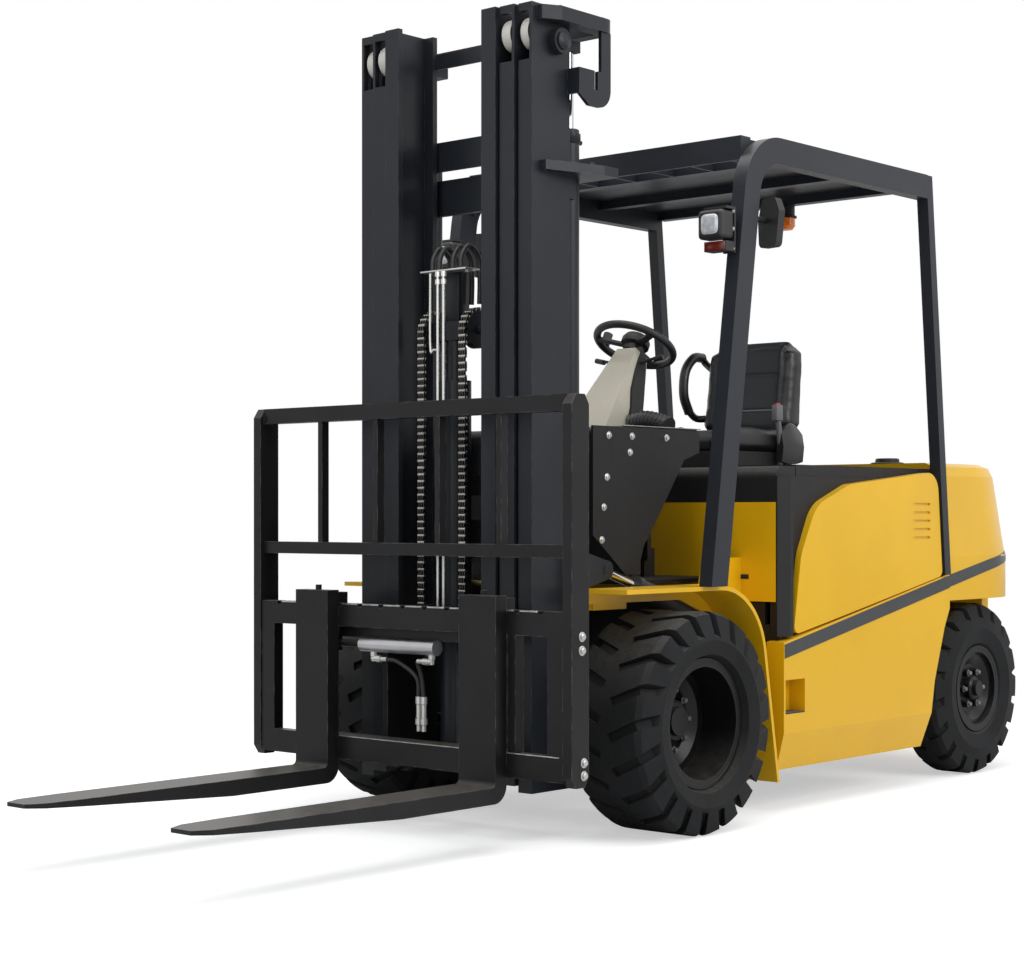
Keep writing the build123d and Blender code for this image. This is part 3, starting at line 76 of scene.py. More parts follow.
# Sizes in metres
CHAIN_IN, CHAIN_OUT, REAR_CHAIN_IN = 0.0755, 0.1045, 0.0908
CHAIN_PITCH, PLATE_R, PIN_R = 0.022, 0.0052, 0.0062
VOXEL, SWELL_CAP, SEAM = 0.006, 0.008, 0.005
CUSHION_HALF, CUSHION_PANEL, BACK_HALF, BACK_PANEL = 0.235, 0.150, 0.205, 0.125
BACK_FRONT, BACK_LEAN, BACK_SUNK, ARM_X = 0.062, 0.055, 0.055, 0.238

# Wheels: axle's y and z, outer face's x, bead radius, nut face's x, nuts and their circle, in millimetres
WHEELS = (("front", 0, 355.5, 692, 208, 553, 10, 102), ("rear", 2000, 335, 581, 168, 561, 6, 70))


# Materials
def add(tree, kind, sockets=None, **settings):
    """A shader node; a socket that is given another node's output is linked, any other is set."""
    node = tree.nodes.new("ShaderNode" + kind)
    for name, value in settings.items():
        setattr(node, name, value)
    for name, value in (sockets or {}).items():
        if isinstance(value, bpy.types.NodeSocket):
            tree.links.new(value, node.inputs[name])
        else:
            node.inputs[name].default_value = value
    return node


def noise(tree, place, scale, detail):
    """Cloudy noise."""
    return add(tree, "TexNoise", {"Scale": scale, "Detail": detail, "Vector": place}).outputs["Fac"]


def ramped(tree, value, start, end, most=1.0):
    """A value taken from 0 at start to most at end."""
    sockets = {"From Min": start, "From Max": end, "To Max": most, "Value": value}
    return add(tree, "MapRange", sockets).outputs["Result"]


def upward(tree, vector):
    """The height of a place, or how far a normal looks up."""
    return add(tree, "SeparateXYZ", {"Vector": vector}).outputs["Z"]


def product(tree, first, second):
    """Two values multiplied."""
    return add(tree, "Math", {0: first, 1: second}, operation="MULTIPLY").outputs["Value"]


def mixed(tree, amount, colour, other):
    """A colour with another mixed in."""
    sockets = {"Factor": amount, "A": colour, "B": (*other, 1)}
    return add(tree, "Mix", sockets, data_type="RGBA").outputs["Result"]


def edge_wear_and_painted_highlight(tree, place, amount):
    """Where the edges are rubbed, in patches."""
    normal = add(tree, "NewGeometry").outputs["Normal"]
    rounded = add(tree, "Bevel", {"Radius": 0.004}, samples=4).outputs["Normal"]
    bend = add(tree, "VectorMath", {0: normal, 1: rounded}, operation="DOT_PRODUCT").outputs["Value"]
    patches = ramped(tree, noise(tree, place, 22.0, 5.0), 0.45, 0.62, amount)
    return product(tree, ramped(tree, bend, 0.995, 0.85), patches)


def worn_blade(tree, coords, colour, rough, amount):
    """Paint rubbed down to steel on the blades' upper faces."""
    place = coords.outputs["Object"]
    low = ramped(tree, upward(tree, place), 0.17, 0.10)
    up = ramped(tree, upward(tree, coords.outputs["Normal"]), 0.55, 0.95)
    patches = ramped(tree, noise(tree, place, 9.0, 8.0), 0.36, 0.62, amount)
    mask = product(tree, product(tree, low, up), patches)
    gloss = add(tree, "Mix", {"Factor": mask, "A": rough, "B": 0.3}).outputs["Result"]
    return mixed(tree, mask, colour, (0.20, 0.19, 0.175)), gloss


def relief(tree, height, strength, depth, under=None):
    """A bumped normal, on top of another where one is given."""
    sockets = {"Strength": strength, "Distance": depth, "Height": height}
    if under is not None:
        sockets["Normal"] = under
    return add(tree, "Bump", sockets).outputs["Normal"]


def material(name, colour, rough=0.5, metal=0.0, bump=0.0, bump_scale=60.0, vary=0.08, vary_scale=6.0,
             rough_vary=0.08, coat=0.0, coat_rough=0.1, dust=0.0, dust_colour=(0.35, 0.32, 0.27), wear=0.0,
             wear_colour=(0.35, 0.34, 0.33), spec=0.5, grain=0.0, grain_scale=900.0, worn_top=0.0):
    """A procedural finish: mottled colour, uneven gloss, fine bump, dust on upward faces and worn edges."""
    finish = bpy.data.materials.new(name)
    finish.use_nodes = True
    tree = finish.node_tree
    bsdf = tree.nodes["Principled BSDF"]
    bsdf.inputs["Metallic"].default_value = metal
    bsdf.inputs["Coat Weight"].default_value = coat
    bsdf.inputs["Coat Roughness"].default_value = coat_rough
    bsdf.inputs["Specular IOR Level"].default_value = spec
    coords = add(tree, "TexCoord")
    place = coords.outputs["Object"]
    ramp = add(tree, "ValToRGB", {"Fac": noise(tree, place, vary_scale, 6.0)})
    for stop, position, share in zip(ramp.color_ramp.elements, (0.3, 0.7), (1 - vary, 1 + vary)):
        stop.position = position
        stop.color = (*[max(0.0, min(1.0, c * share)) for c in colour], 1)
    tint = ramp.outputs["Color"]
    fine = noise(tree, place, vary_scale * 7, 4.0)
    smoothest, roughest = max(0.02, rough - rough_vary), min(1.0, rough + rough_vary)
    sockets = {"To Min": smoothest, "To Max": roughest, "Value": fine}
    gloss = add(tree, "MapRange", sockets).outputs["Result"]
    if dust > 0:
        up = ramped(tree, upward(tree, add(tree, "NewGeometry").outputs["Normal"]), 0.2, 1.0, dust)
        tint = mixed(tree, product(tree, up, fine), tint, dust_colour)
    if wear > 0:
        tint = mixed(tree, edge_wear_and_painted_highlight(tree, place, wear), tint, wear_colour)
    if worn_top > 0:
        tint, gloss = worn_blade(tree, coords, tint, gloss, worn_top)
    tree.links.new(tint, bsdf.inputs["Base Color"])
    tree.links.new(gloss, bsdf.inputs["Roughness"])
    normal = None
    if bump > 0:
        normal = relief(tree, noise(tree, place, bump_scale, 3.0), bump, 0.002)
    if grain > 0:
        cells = add(tree, "TexVoronoi", {"Scale": grain_scale, "Vector": place}).outputs["Distance"]
        normal = relief(tree, cells, grain, 0.0006, normal)
    if normal is not None:
        tree.links.new(normal, bsdf.inputs["Normal"])
    return finish


YELLOW = (0.80, 0.455, 0.004)
M = {
    "body_yellow": material("paint_yellow", YELLOW, 0.34, coat=0.2, coat_rough=0.1, spec=0.35, bump=0.04,
                            bump_scale=260, vary=0.05, vary_scale=2.5, dust=0.10),
    "mast_charcoal": material("paint_mast", (0.014, 0.0165, 0.021), 0.36, spec=0.28, bump=0.07,
                              bump_scale=220, vary=0.18, vary_scale=3.0, dust=0.25, wear=0.5,
                              wear_colour=(0.12, 0.12, 0.12)),
    "guard_charcoal": material("paint_guard", (0.017, 0.020, 0.026), 0.36, spec=0.3, bump=0.06,
                               bump_scale=240, vary=0.12, vary_scale=3.0, dust=0.25),
    "fork_black": material("paint_fork", (0.009, 0.009, 0.010), 0.40, spec=0.25, worn_top=0.9, bump=0.10,
                           bump_scale=160, vary=0.25, vary_scale=5.0, dust=0.35, wear=0.8,
                           wear_colour=(0.16, 0.15, 0.14)),
    "chassis_black": material("paint_chassis", (0.010, 0.010, 0.011), 0.55, spec=0.3, bump=0.10,
                              bump_scale=150, vary=0.2, dust=0.4),
    "trim_black": material("moulded_black", (0.010, 0.010, 0.011), 0.50, spec=0.3, grain=0.35,
                           grain_scale=700, vary=0.12, dust=0.25),
    "cream_cover": material("moulded_cream", (0.58, 0.54, 0.44), 0.45, grain=0.2, grain_scale=800,
                            vary=0.05, dust=0.15),
    "tyre_black": material("rubber", (0.008, 0.0085, 0.0095), 0.68, spec=0.22, bump=0.25, bump_scale=120,
                           vary=0.35, vary_scale=9.0, dust=0.45, dust_colour=(0.16, 0.15, 0.13)),
    "rim_black": material("paint_rim", (0.006, 0.006, 0.007), 0.33, spec=0.25, bump=0.06, bump_scale=200,
                          vary=0.2, dust=0.2, wear=0.4, wear_colour=(0.10, 0.10, 0.10)),
    "rod_chrome": material("chrome_rod", (0.62, 0.62, 0.64), 0.12, metal=1.0, vary=0.05, rough_vary=0.05),
    "cylinder_silver": material("bare_steel", (0.46, 0.46, 0.47), 0.34, metal=1.0, bump=0.06, vary=0.12),
    "chain_steel": material("oiled_chain", (0.05, 0.05, 0.05), 0.38, metal=0.8, bump=0.1, vary=0.3,
                            dust=0.2),
    "axle_iron": material("cast_black", (0.016, 0.016, 0.018), 0.6, bump=0.35, bump_scale=90, vary=0.25,
                          dust=0.4),
    "seat_vinyl": material("seat_vinyl", (0.009, 0.009, 0.010), 0.34, spec=0.5, grain=0.5, grain_scale=420,
                           vary=0.15, dust=0.1),
    "wheel_rubber": material("grip", (0.012, 0.012, 0.013), 0.42, grain=0.2, grain_scale=900, vary=0.15),
    "beacon_amber": material("amber_lens", (0.85, 0.20, 0.01), 0.2, coat=0.4, vary=0.12),
    "mirror_housing": material("mirror_housing", (0.013, 0.013, 0.014), 0.5, grain=0.3, grain_scale=700),
    "lamp_housing": material("lamp_housing", (0.013, 0.013, 0.014), 0.5, grain=0.3, grain_scale=700),
    "battery_case": material("battery_tray", (0.03, 0.03, 0.034), 0.55, bump=0.1, dust=0.3),
    "pin_steel": material("zinc_pin", (0.42, 0.42, 0.40), 0.4, metal=1.0, vary=0.2),
    "counterweight_iron": material("paint_counterweight", YELLOW, 0.36, coat=0.2, coat_rough=0.12,
                                   spec=0.35, bump=0.12, bump_scale=45, vary=0.05, vary_scale=2.5,
                                   dust=0.10),
    # Light steel for the painted highlight strips on the shifter bars' edges
    "painted_highlight_steel": material("painted_highlight_steel", (0.42, 0.41, 0.40), 0.35, metal=0.9, vary=0.35, vary_scale=30.0),
    # Light grey for the painted highlight strips along the cowl plates' top edges
    "cowl_edge": material("edge_wear_and_painted_highlight", (0.30, 0.30, 0.30), 0.4, vary=0.25, vary_scale=20.0),
    "zinc_dull": material("dull_zinc", (0.22, 0.22, 0.21), 0.45, metal=0.7, vary=0.3, dust=0.2),
    "piping_grey": material("piping", (0.22, 0.23, 0.24), 0.45, vary=0.1),
    "seat_cloth": material("seat_panel", (0.040, 0.045, 0.050), 0.55, grain=0.5, grain_scale=500, vary=0.12,
                           vary_scale=4.0, spec=0.35),
    "stripe": material("paint_stripe", (0.035, 0.037, 0.042), 0.4, bump=0.05, vary=0.12, dust=0.2),
    "chain_pin": material("chain_rivets", (0.40, 0.38, 0.34), 0.3, metal=1.0, vary=0.2),
    "nylon": material("cast_nylon", (0.62, 0.60, 0.55), 0.4, bump=0.05, vary=0.08),
    "zinc": material("zinc_bolts", (0.55, 0.55, 0.53), 0.36, metal=0.9, vary=0.15, dust=0.1),
    "bright_pipe": material("steel_pipe", (0.62, 0.62, 0.60), 0.28, metal=1.0, vary=0.1),
    "hose": material("hose_rubber", (0.012, 0.012, 0.012), 0.5, bump=0.2, bump_scale=400, vary=0.2),
    "lamp_glass": material("lamp_glass", (0.55, 0.57, 0.60), 0.12, coat=0.8, vary=0.25, vary_scale=60.0),
    "indicator_red": material("indicator_red", (0.16, 0.012, 0.008), 0.25, coat=0.5, vary=0.15,
                              vary_scale=30.0),
    "mirror_glass": material("mirror_glass", (0.75, 0.77, 0.78), 0.05, metal=1.0, vary=0.03),
    "seat_shell": material("seat_shell", (0.014, 0.014, 0.015), 0.35, grain=0.25, grain_scale=600,
                           vary=0.12),
    "moulded_grey": material("moulded_grey", (0.16, 0.16, 0.165), 0.55, grain=0.3, vary=0.1, dust=0.15),
    "red_plastic": material("red_button", (0.55, 0.012, 0.010), 0.35, vary=0.1),
    # Near-black for the painted shade of the front wall's slot line
    "painted_slot_shade": material("painted_slot_shade", (0.006, 0.006, 0.006), 0.8, vary=0.2),
    "step_black": material("step_grip", (0.018, 0.018, 0.018), 0.75, bump=0.5, bump_scale=500, vary=0.25,
                           dust=0.4),
    "paint_yellow_small": material("painted_bolts", (0.72, 0.38, 0.012), 0.4, vary=0.08, dust=0.15),
}
CHAIN_FINISHES = [M["chain_steel"], M["chain_pin"]]

for entry in frame["record"]["subparts"]:
    node = NODES[entry["node"]]
    node.data.materials.clear()
    node.data.materials.append(M[entry["material_slot"]])


# Floor, light and camera
def stage():
    """White floor that keeps the truck's shadow and turns plain white further off."""
    bpy.ops.mesh.primitive_plane_add(size=60, location=(0, 0, 0))
    floor = bpy.context.object
    floor.name = "floor"
    finish = bpy.data.materials.new("floor")
    finish.use_nodes = True
    tree = finish.node_tree
    tree.nodes.clear()
    diffuse = add(tree, "BsdfDiffuse", {"Color": (0.78, 0.78, 0.78, 1)}).outputs[0]
    glow = add(tree, "Emission", {"Strength": 0.50}).outputs[0]
    near = add(tree, "AddShader", {0: diffuse, 1: glow}).outputs[0]
    white = add(tree, "Emission").outputs[0]
    place = add(tree, "TexCoord").outputs["Object"]
    reach = add(tree, "VectorMath", {0: place}, operation="LENGTH").outputs["Value"]
    shade = add(tree, "MixShader", {"Fac": ramped(tree, reach, 1.9, 4.2), 1: near, 2: white}).outputs[0]
    seen = add(tree, "LightPath").outputs["Is Camera Ray"]
    mix = add(tree, "MixShader", {"Fac": seen, 1: diffuse, 2: shade}).outputs[0]
    add(tree, "OutputMaterial", {"Surface": mix})
    floor.data.materials.append(finish)


def sky():
    """Even light all round, seen as white by the camera, in reflections and through glass."""
    world = bpy.data.worlds.new("studio")
    bpy.context.scene.world = world
    world.use_nodes = True
    tree = world.node_tree
    tree.nodes.clear()
    plain = add(tree, "Background", {"Color": (0.94, 0.97, 1.0, 1), "Strength": 0.45}).outputs[0]
    white = add(tree, "Background", {"Color": (1, 1, 1, 1), "Strength": 1.0}).outputs[0]
    path = add(tree, "LightPath").outputs
    seen = path["Is Camera Ray"]
    for ray in ("Is Transmission Ray", "Is Glossy Ray"):
        seen = add(tree, "Math", {0: seen, 1: path[ray]}, operation="MAXIMUM").outputs[0]
    mix = add(tree, "MixShader", {"Fac": seen, 1: plain, 2: white}).outputs[0]
    add(tree, "OutputWorld", {"Surface": mix})


def area(name, place, aim, size, power):
    """An area lamp that looks at a point."""
    data = bpy.data.lights.new(name, "AREA")
    data.shape = "RECTANGLE"
    data.size, data.size_y = size
    data.energy = power
    lamp = bpy.data.objects.new(name, data)
    bpy.context.scene.collection.objects.link(lamp)
    lamp.location = place
    lamp.rotation_euler = (Vector(aim) - Vector(place)).to_track_quat("-Z", "Y").to_euler()


def camera():
    """The camera as it was solved from the photo."""
    data = bpy.data.cameras.new("camera")
    data.sensor_fit = "HORIZONTAL"
    data.sensor_width = 36
    data.lens = 71.28
    data.shift_x = 0.0302
    data.shift_y = 0.0340
    data.clip_end = 200
    cam = bpy.data.objects.new("camera", data)
    bpy.context.scene.collection.objects.link(cam)
    cam.location = (4.4387, -5.2533 + SHIFT, 1.0121)
    cam.rotation_euler = (radians(90 - 0.246), 0, radians(41.767))
    bpy.context.scene.camera = cam


# Building blocks; their lengths are metres, except that at() takes millimetres and so does round_mm
def at(x, y, z):
    """A place given in the truck's construction frame, in millimetres from the front axle."""
    return Vector((x / 1000, y / 1000 + SHIFT, z / 1000))


def piece(name, bm, finishes, body, sharp=40):
    """Turns a bmesh into a piece that rides on a body."""
    bmesh.ops.recalc_face_normals(bm, faces=bm.faces)
    mesh = bpy.data.meshes.new(name)
    bm.to_mesh(mesh)
    bm.free()
    for finish in finishes if isinstance(finishes, (list, tuple)) else [finishes]:
        mesh.materials.append(finish)
    mesh.polygons.foreach_set("use_smooth", [True] * len(mesh.polygons))
    mesh.set_sharp_from_angle(angle=radians(sharp))
    thing = bpy.data.objects.new(name, mesh)
    bpy.context.scene.collection.objects.link(thing)
    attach(thing, body)
    return thing


def join(bm, low, high, finish=0, closed=False):
    """Faces between two rows of vertices; a row of one vertex is a point."""
    count = max(len(low), len(high))
    for i in range(count if closed else count - 1):
        k = (i + 1) % count
        corners = [low[i % len(low)], low[k % len(low)], high[k % len(high)], high[i % len(high)]]
        corners = [c for j, c in enumerate(corners) if c not in corners[:j]]
        if len(corners) > 2:
            bm.faces.new(corners).material_index = finish


def loft(bm, rows, finish=0):
    """A closed form through rings of vertices, with a face over each end that isn't a point."""
    for low, high in zip(rows, rows[1:]):
        join(bm, low, high, finish, True)
    for row in (rows[0], rows[-1]):
        if len(row) > 1:
            bm.faces.new(row).material_index = finish


def lathe(bm, profile, origin, axis, segs=32, finish=0):
    """A body turned about an axis, with its profile in (along, radius)."""
    axis = Vector(axis).normalized()
    u = axis.orthogonal().normalized()
    v = axis.cross(u)
    rings = []
    for along, radius in profile:
        centre = origin + axis * along
        if radius <= 0:
            rings.append([bm.verts.new(centre)])
            continue
        angles = [2 * pi * i / segs for i in range(segs)]
        rings.append([bm.verts.new(centre + (u * cos(a) + v * sin(a)) * radius) for a in angles])
    loft(bm, rings, finish)


def bolt(bm, place, axis, size=0.008):
    """Hexagon bolt head on its washer."""
    lathe(bm, [(-0.001, size * 1.35), (0.0015, size * 1.35), (0.002, size * 1.25)], place, axis, 20)
    lathe(bm, [(0.0, size * 0.9), (size * 0.7, size), (size * 0.85, size * 0.8)], place, axis, 6)


def slab(bm, low, high, round_mm=2.0, finish=0, segments=2):
    """A block between two corners, with rounded edges."""
    before = set(bm.faces)
    size = high - low
    made = bmesh.ops.create_cube(bm, size=1.0)
    for v in made["verts"]:
        v.co = Vector(low[i] + (v.co[i] + 0.5) * size[i] for i in range(3))
    edges = {e for v in made["verts"] for e in v.link_edges}
    bmesh.ops.bevel(bm, geom=list(edges), offset=round_mm / 1000, segments=segments, profile=0.5,
                    affect="EDGES", clamp_overlap=True)
    for face in set(bm.faces) - before:
        face.material_index = finish


def smooth_path(points, steps=6):
    """A smooth path through the points."""
    path = []
    ends = [points[0] * 2 - points[1]] + points + [points[-1] * 2 - points[-2]]
    for a, b, c, d in zip(ends, ends[1:], ends[2:], ends[3:]):
        for i in range(steps):
            t = i / steps
            path.append(0.5 * (2 * b + (c - a) * t + (2 * a - 5 * b + 4 * c - d) * t * t
                               + (3 * b - a - 3 * c + d) * t ** 3))
    return path + [points[-1]]


def tube(bm, path, radius, segs=12, ribs=0.0):
    """A round tube along a path; ribs alternates its radius, as on a bellows."""
    rings = []
    normal = (path[1] - path[0]).orthogonal().normalized()
    for i, p in enumerate(path):
        along = (path[min(i + 1, len(path) - 1)] - path[max(i - 1, 0)]).normalized()
        normal = (normal - along * normal.dot(along)).normalized()
        side = along.cross(normal)
        r = radius - ribs * (i % 2)
        angles = [2 * pi * k / segs for k in range(segs)]
        rings.append([bm.verts.new(p + (normal * cos(a) + side * sin(a)) * r) for a in angles])
    loft(bm, rings)


def surface(node):
    """A search tree over a node's own surface."""
    return BVHTree.FromObject(NODES[node], bpy.context.evaluated_depsgraph_get())


def skirt_stripes():
    """Charcoal band along each skirt."""
    bm = bmesh.new()
    steps = 24
    for side in (1, -1):
        rows = []
        for i in range(steps + 1):
            y = SKIRT_FRONT + (SKIRT_REAR - SKIRT_FRONT) * i / steps
            low = 522 + (y - 520) * STRIPE_SLOPE
            high = low + (STRIPE_WIDE - 1)
            edge = [(629.5, low - 1), (631.3, low), (631.3, high), (629.5, low + STRIPE_WIDE)]
            rows.append([bm.verts.new(at(side * x, y, z)) for x, z in edge])
        for low, high in zip(rows, rows[1:]):
            join(bm, low, high)
        bm.faces.new(rows[0])
        bm.faces.new(rows[-1])
    piece("skirt_stripes", bm, M["stripe"], "chassis")


def band_height(y, share):
    """How high the band round the counterweight lies, at a share of its width, in millimetres."""
    rise = STRIPE_SLOPE * min(y - CW_FRONT, 560) - 0.00012 * max(min(y, 2250) - 2000, 0) ** 2
    return 738 + rise + share * (STRIPE_WIDE - 0.012 * (y - CW_FRONT))


def counterweight_stripe():
    """The skirts' band carried on round the counterweight, laid on its surface."""
    bm = bmesh.new()
    tree = surface("counterweight")
    steps = 120
    rows = []
    for i in range(steps + 1):
        angle = radians(-4.0 + 188.0 * i / steps)
        out = Vector((cos(angle), sin(angle), 0))
        row = []
        for share, proud in ((0.0, -0.0005), (0.02, 0.0015), (0.5, 0.0015), (0.98, 0.0015), (1.0, -0.0005)):
            z = 760
            for _ in range(3):
                hit = tree.ray_cast(at(0, CW_MIDDLE, z) + out * 2, -out)[0]
                z = band_height((hit.y - SHIFT) * 1000, share)
            row.append(bm.verts.new(hit + out * proud))
        rows.append(row)
    for low, high in zip(rows, rows[1:]):
        join(bm, low, high)
    piece("counterweight_stripe", bm, M["stripe"], "chassis")


def chain_pins(path):
    """The pins of a chain, evenly spaced along a path."""
    length = sum((b - a).length for a, b in zip(path, path[1:]))
    count = max(2, int(round(length / CHAIN_PITCH)))
    pins = []
    for i in range(count + 1):
        left = length * i / count
        for a, b in zip(path, path[1:]):
            span = (b - a).length
            if left <= span + 1e-9:
                pins.append(a + (b - a) * (left / span))
                break
            left -= span
    return pins


def plate_outline(a, b):
    """Outline of a chain plate about two pins: a half circle round each."""
    along = (b - a).normalized()
    across = Vector((0, -along.z, along.y))
    outline = []
    for end, reach in ((a, -PLATE_R), (b, PLATE_R)):
        for j in range(5):
            t = pi * j / 4 - pi / 2
            outline.append(end + along * (reach * cos(t)) + across * (reach * sin(t)))
    return outline


def leaf_run(bm, path, x0, x1, columns=6):
    """Leaf chain from x0 to x1 along a path: dark plates in alternate columns and brighter pins."""
    pins = chain_pins(path)
    wide = x1 - x0
    for pin in pins:
        lathe(bm, [(0, 0.0050), (0.0008, PIN_R), (wide - 0.0008, PIN_R), (wide, 0.0050)],
              Vector((x0, pin.y, pin.z)), X_AXIS, 10, 1)
    for k in range(columns):
        ends = (x0 + wide / columns * (k + 0.12), x0 + wide / columns * (k + 0.88))
        for i in range(k % 2, len(pins) - 1, 2):
            outline = plate_outline(pins[i], pins[i + 1])
            faces = []
            for x in ends:
                faces.append([bm.verts.new((x, p.y, p.z)) for p in outline])
                bm.faces.new(faces[-1])
            join(bm, faces[0], faces[1], 0, True)


def chains():
    """Leaf chains in place of the plain runs of the source; the rear runs show half their width."""
    for tag, side in SIDES:
        x0, x1 = sorted((side * CHAIN_IN, side * CHAIN_OUT))
        bm = bmesh.new()
        y = SHEAVE_Y - SHEAVE_RING
        leaf_run(bm, [at(0, y, 1610), at(0, y, 641)], x0, x1)
        front = piece("lift_chain_front_" + tag, bm, CHAIN_FINISHES, "crosshead", 50)
        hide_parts("chain_front")
        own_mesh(front)
        bm = bmesh.new()
        turns = [pi * i / 24 for i in range(25)]
        arc = [at(0, SHEAVE_Y - SHEAVE_RING * cos(a), SHEAVE_Z + SHEAVE_RING * sin(a)) for a in turns]
        leaf_run(bm, arc, x0, x1)
        x0, x1 = sorted((side * REAR_CHAIN_IN, side * CHAIN_OUT))
        rear = SHEAVE_Y + SHEAVE_RING
        leaf_run(bm, [at(0, rear, 1608), at(0, rear, 882)], x0, x1, 3)
        upper = piece("lift_chain_upper_" + tag, bm, CHAIN_FINISHES, "crosshead", 50)
        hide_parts("chain_upper")


# Seat
def apply_modifier(thing, name):
    """Applies one modifier."""
    with bpy.context.temp_override(object=thing, active_object=thing, selected_objects=[thing]):
        bpy.ops.object.modifier_apply(modifier=name)


def swell(thing):
    """Cloth under inner pressure, with how far a point may move capped."""
    start = [v.co.copy() for v in thing.data.vertices]
    cloth = thing.modifiers.new("cloth", "CLOTH")
    cloth.settings.use_pressure = True
    cloth.settings.uniform_pressure_force = 4.0
    cloth.settings.tension_stiffness = 18
    cloth.settings.compression_stiffness = 18
    cloth.settings.bending_stiffness = 2.0
    cloth.settings.effector_weights.gravity = 0.0
    scene = bpy.context.scene
    for frame_number in range(1, 21):
        scene.frame_set(frame_number)
    posed = thing.evaluated_get(bpy.context.evaluated_depsgraph_get())
    ends = [v.co.copy() for v in posed.data.vertices]
    thing.modifiers.remove(cloth)
    scene.frame_set(1)
    for v, a, b in zip(thing.data.vertices, start, ends):
        move = b - a
        if move.length > SWELL_CAP:
            move = move.normalized() * SWELL_CAP
        v.co = a + move


def seat_pad(name, shape, crown, panel):
    """Upholstery from a closed base form: remeshed, swelled as cloth under pressure, then smoothed."""
    bm = bmesh.new()
    shape(bm)
    bmesh.ops.recalc_face_normals(bm, faces=bm.faces)
    mesh = bpy.data.meshes.new(name)
    bm.to_mesh(mesh)
    bm.free()
    thing = bpy.data.objects.new(name, mesh)
    bpy.context.scene.collection.objects.link(thing)
    bpy.context.view_layer.objects.active = thing
    remesh = thing.modifiers.new("remesh", "REMESH")
    remesh.mode = "VOXEL"
    remesh.voxel_size = VOXEL
    apply_modifier(thing, "remesh")
    swell(thing)
    relax = thing.modifiers.new("relax", "SMOOTH")
    relax.iterations = 6
    apply_modifier(thing, "relax")
    crown(thing.data)
    thing.data.materials.append(M["seat_vinyl"])
    thing.data.materials.append(M["seat_cloth"])
    for face in thing.data.polygons:
        c, out = face.center, face.normal
        face.material_index = int(abs(c.x) < panel and (out.y < -0.5 or out.z > 0.6))
    thing.data.polygons.foreach_set("use_smooth", [True] * len(thing.data.polygons))
    return thing


def clamped(value):
    """A value held between 0 and 1."""
    return max(0.0, min(1.0, value))


def groove(value, centre, depth):
    """How deep a sewn line is at a distance from its centre."""
    return depth * exp(-((value - centre) / SEAM) ** 2)


def seat_cushion(low, high):
    """Seat cushion with bolsters and sewn channels."""
    middle_y, middle_z = (low.y + high.y) / 2, (low.z + high.z) / 2

    def cushion_form(bm):
        profile = [(low.y + 0.012, low.z + 0.035), (low.y + 0.03, low.z + 0.008),
                   (high.y - 0.012, low.z + 0.008), (high.y - 0.012, high.z - 0.050),
                   (low.y + 0.12, high.z - 0.044), (low.y + 0.05, high.z - 0.046),
                   (low.y + 0.02, high.z - 0.062)]
        rows = []
        for x, inset in ((-CUSHION_HALF, 0.010), (-CUSHION_HALF + 0.02, 0.0), (CUSHION_HALF - 0.02, 0.0),
                         (CUSHION_HALF, 0.010)):
            row = []
            for y, z in profile:
                row.append(bm.verts.new((x, y + (inset if y < middle_y else -inset),
                                         z + (inset if z < middle_z else -inset))))
            rows.append(row)
        loft(bm, rows)

    def cushion_seams(mesh):
        for v in mesh.vertices:
            top = clamped((v.co.z - (high.z - 0.07)) / 0.02)
            bolster = clamped((abs(v.co.x) - CUSHION_PANEL) / 0.05)
            v.co.z += top * bolster * 0.014
            dip = groove(abs(v.co.x), CUSHION_PANEL, 0.006)
            for k in range(3):
                dip += groove(v.co.y, low.y + 0.14 + 0.10 * k, 0.005) * (abs(v.co.x) < CUSHION_PANEL)
            v.co.z -= top * dip
            v.co.z = min(v.co.z, high.z - 0.001)

    cushion = seat_pad("seat_cushion_pad", cushion_form, cushion_seams, CUSHION_PANEL)
    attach(cushion, "hood")
    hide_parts("seat_cushion")


def seat_backrest(low, rise):
    """Backrest with bolsters and sewn channels; it reaches down behind the cushion."""

    def back_form(bm):
        rows = []
        for i in range(9):
            t = i / 8
            z = low.z - BACK_SUNK + (rise - 0.014 + BACK_SUNK) * t
            front = low.y + BACK_FRONT + BACK_LEAN * t
            back = front + 0.085 - 0.025 * t
            wide = BACK_HALF - 0.045 * (max(0.0, t - 0.80) / 0.20) ** 2
            if i in (0, 8):
                front, back, wide = front + 0.02, back - 0.02, wide - 0.02
            section = ((-wide, front + 0.02), (-wide + 0.03, front), (wide - 0.03, front),
                       (wide, front + 0.02), (wide, back - 0.02), (wide - 0.04, back),
                       (-wide + 0.04, back), (-wide, back - 0.02))
            rows.append([bm.verts.new((x, y, z)) for x, y in section])
        loft(bm, rows)

    def back_seams(mesh):
        for v in mesh.vertices:
            t = (v.co.z - low.z + BACK_SUNK) / (rise + BACK_SUNK)
            front = low.y + BACK_FRONT + BACK_LEAN * t
            face = clamped((front + 0.035 - v.co.y) / 0.02)
            bolster = clamped((abs(v.co.x) - BACK_PANEL) / 0.05) * (t < 0.95)
            v.co.y -= face * bolster * 0.026
            dip = groove(abs(v.co.x), BACK_PANEL, 0.007) * (0.1 < t < 0.93)
            for level in (0.27, 0.62, 0.90):
                dip += groove(t * rise, level * rise, 0.006) * (abs(v.co.x) < BACK_PANEL)
            v.co.y += face * dip

    back = seat_pad("seat_backrest_pad", back_form, back_seams, BACK_PANEL)
    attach(back, "hood")
    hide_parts("seat_backrest")


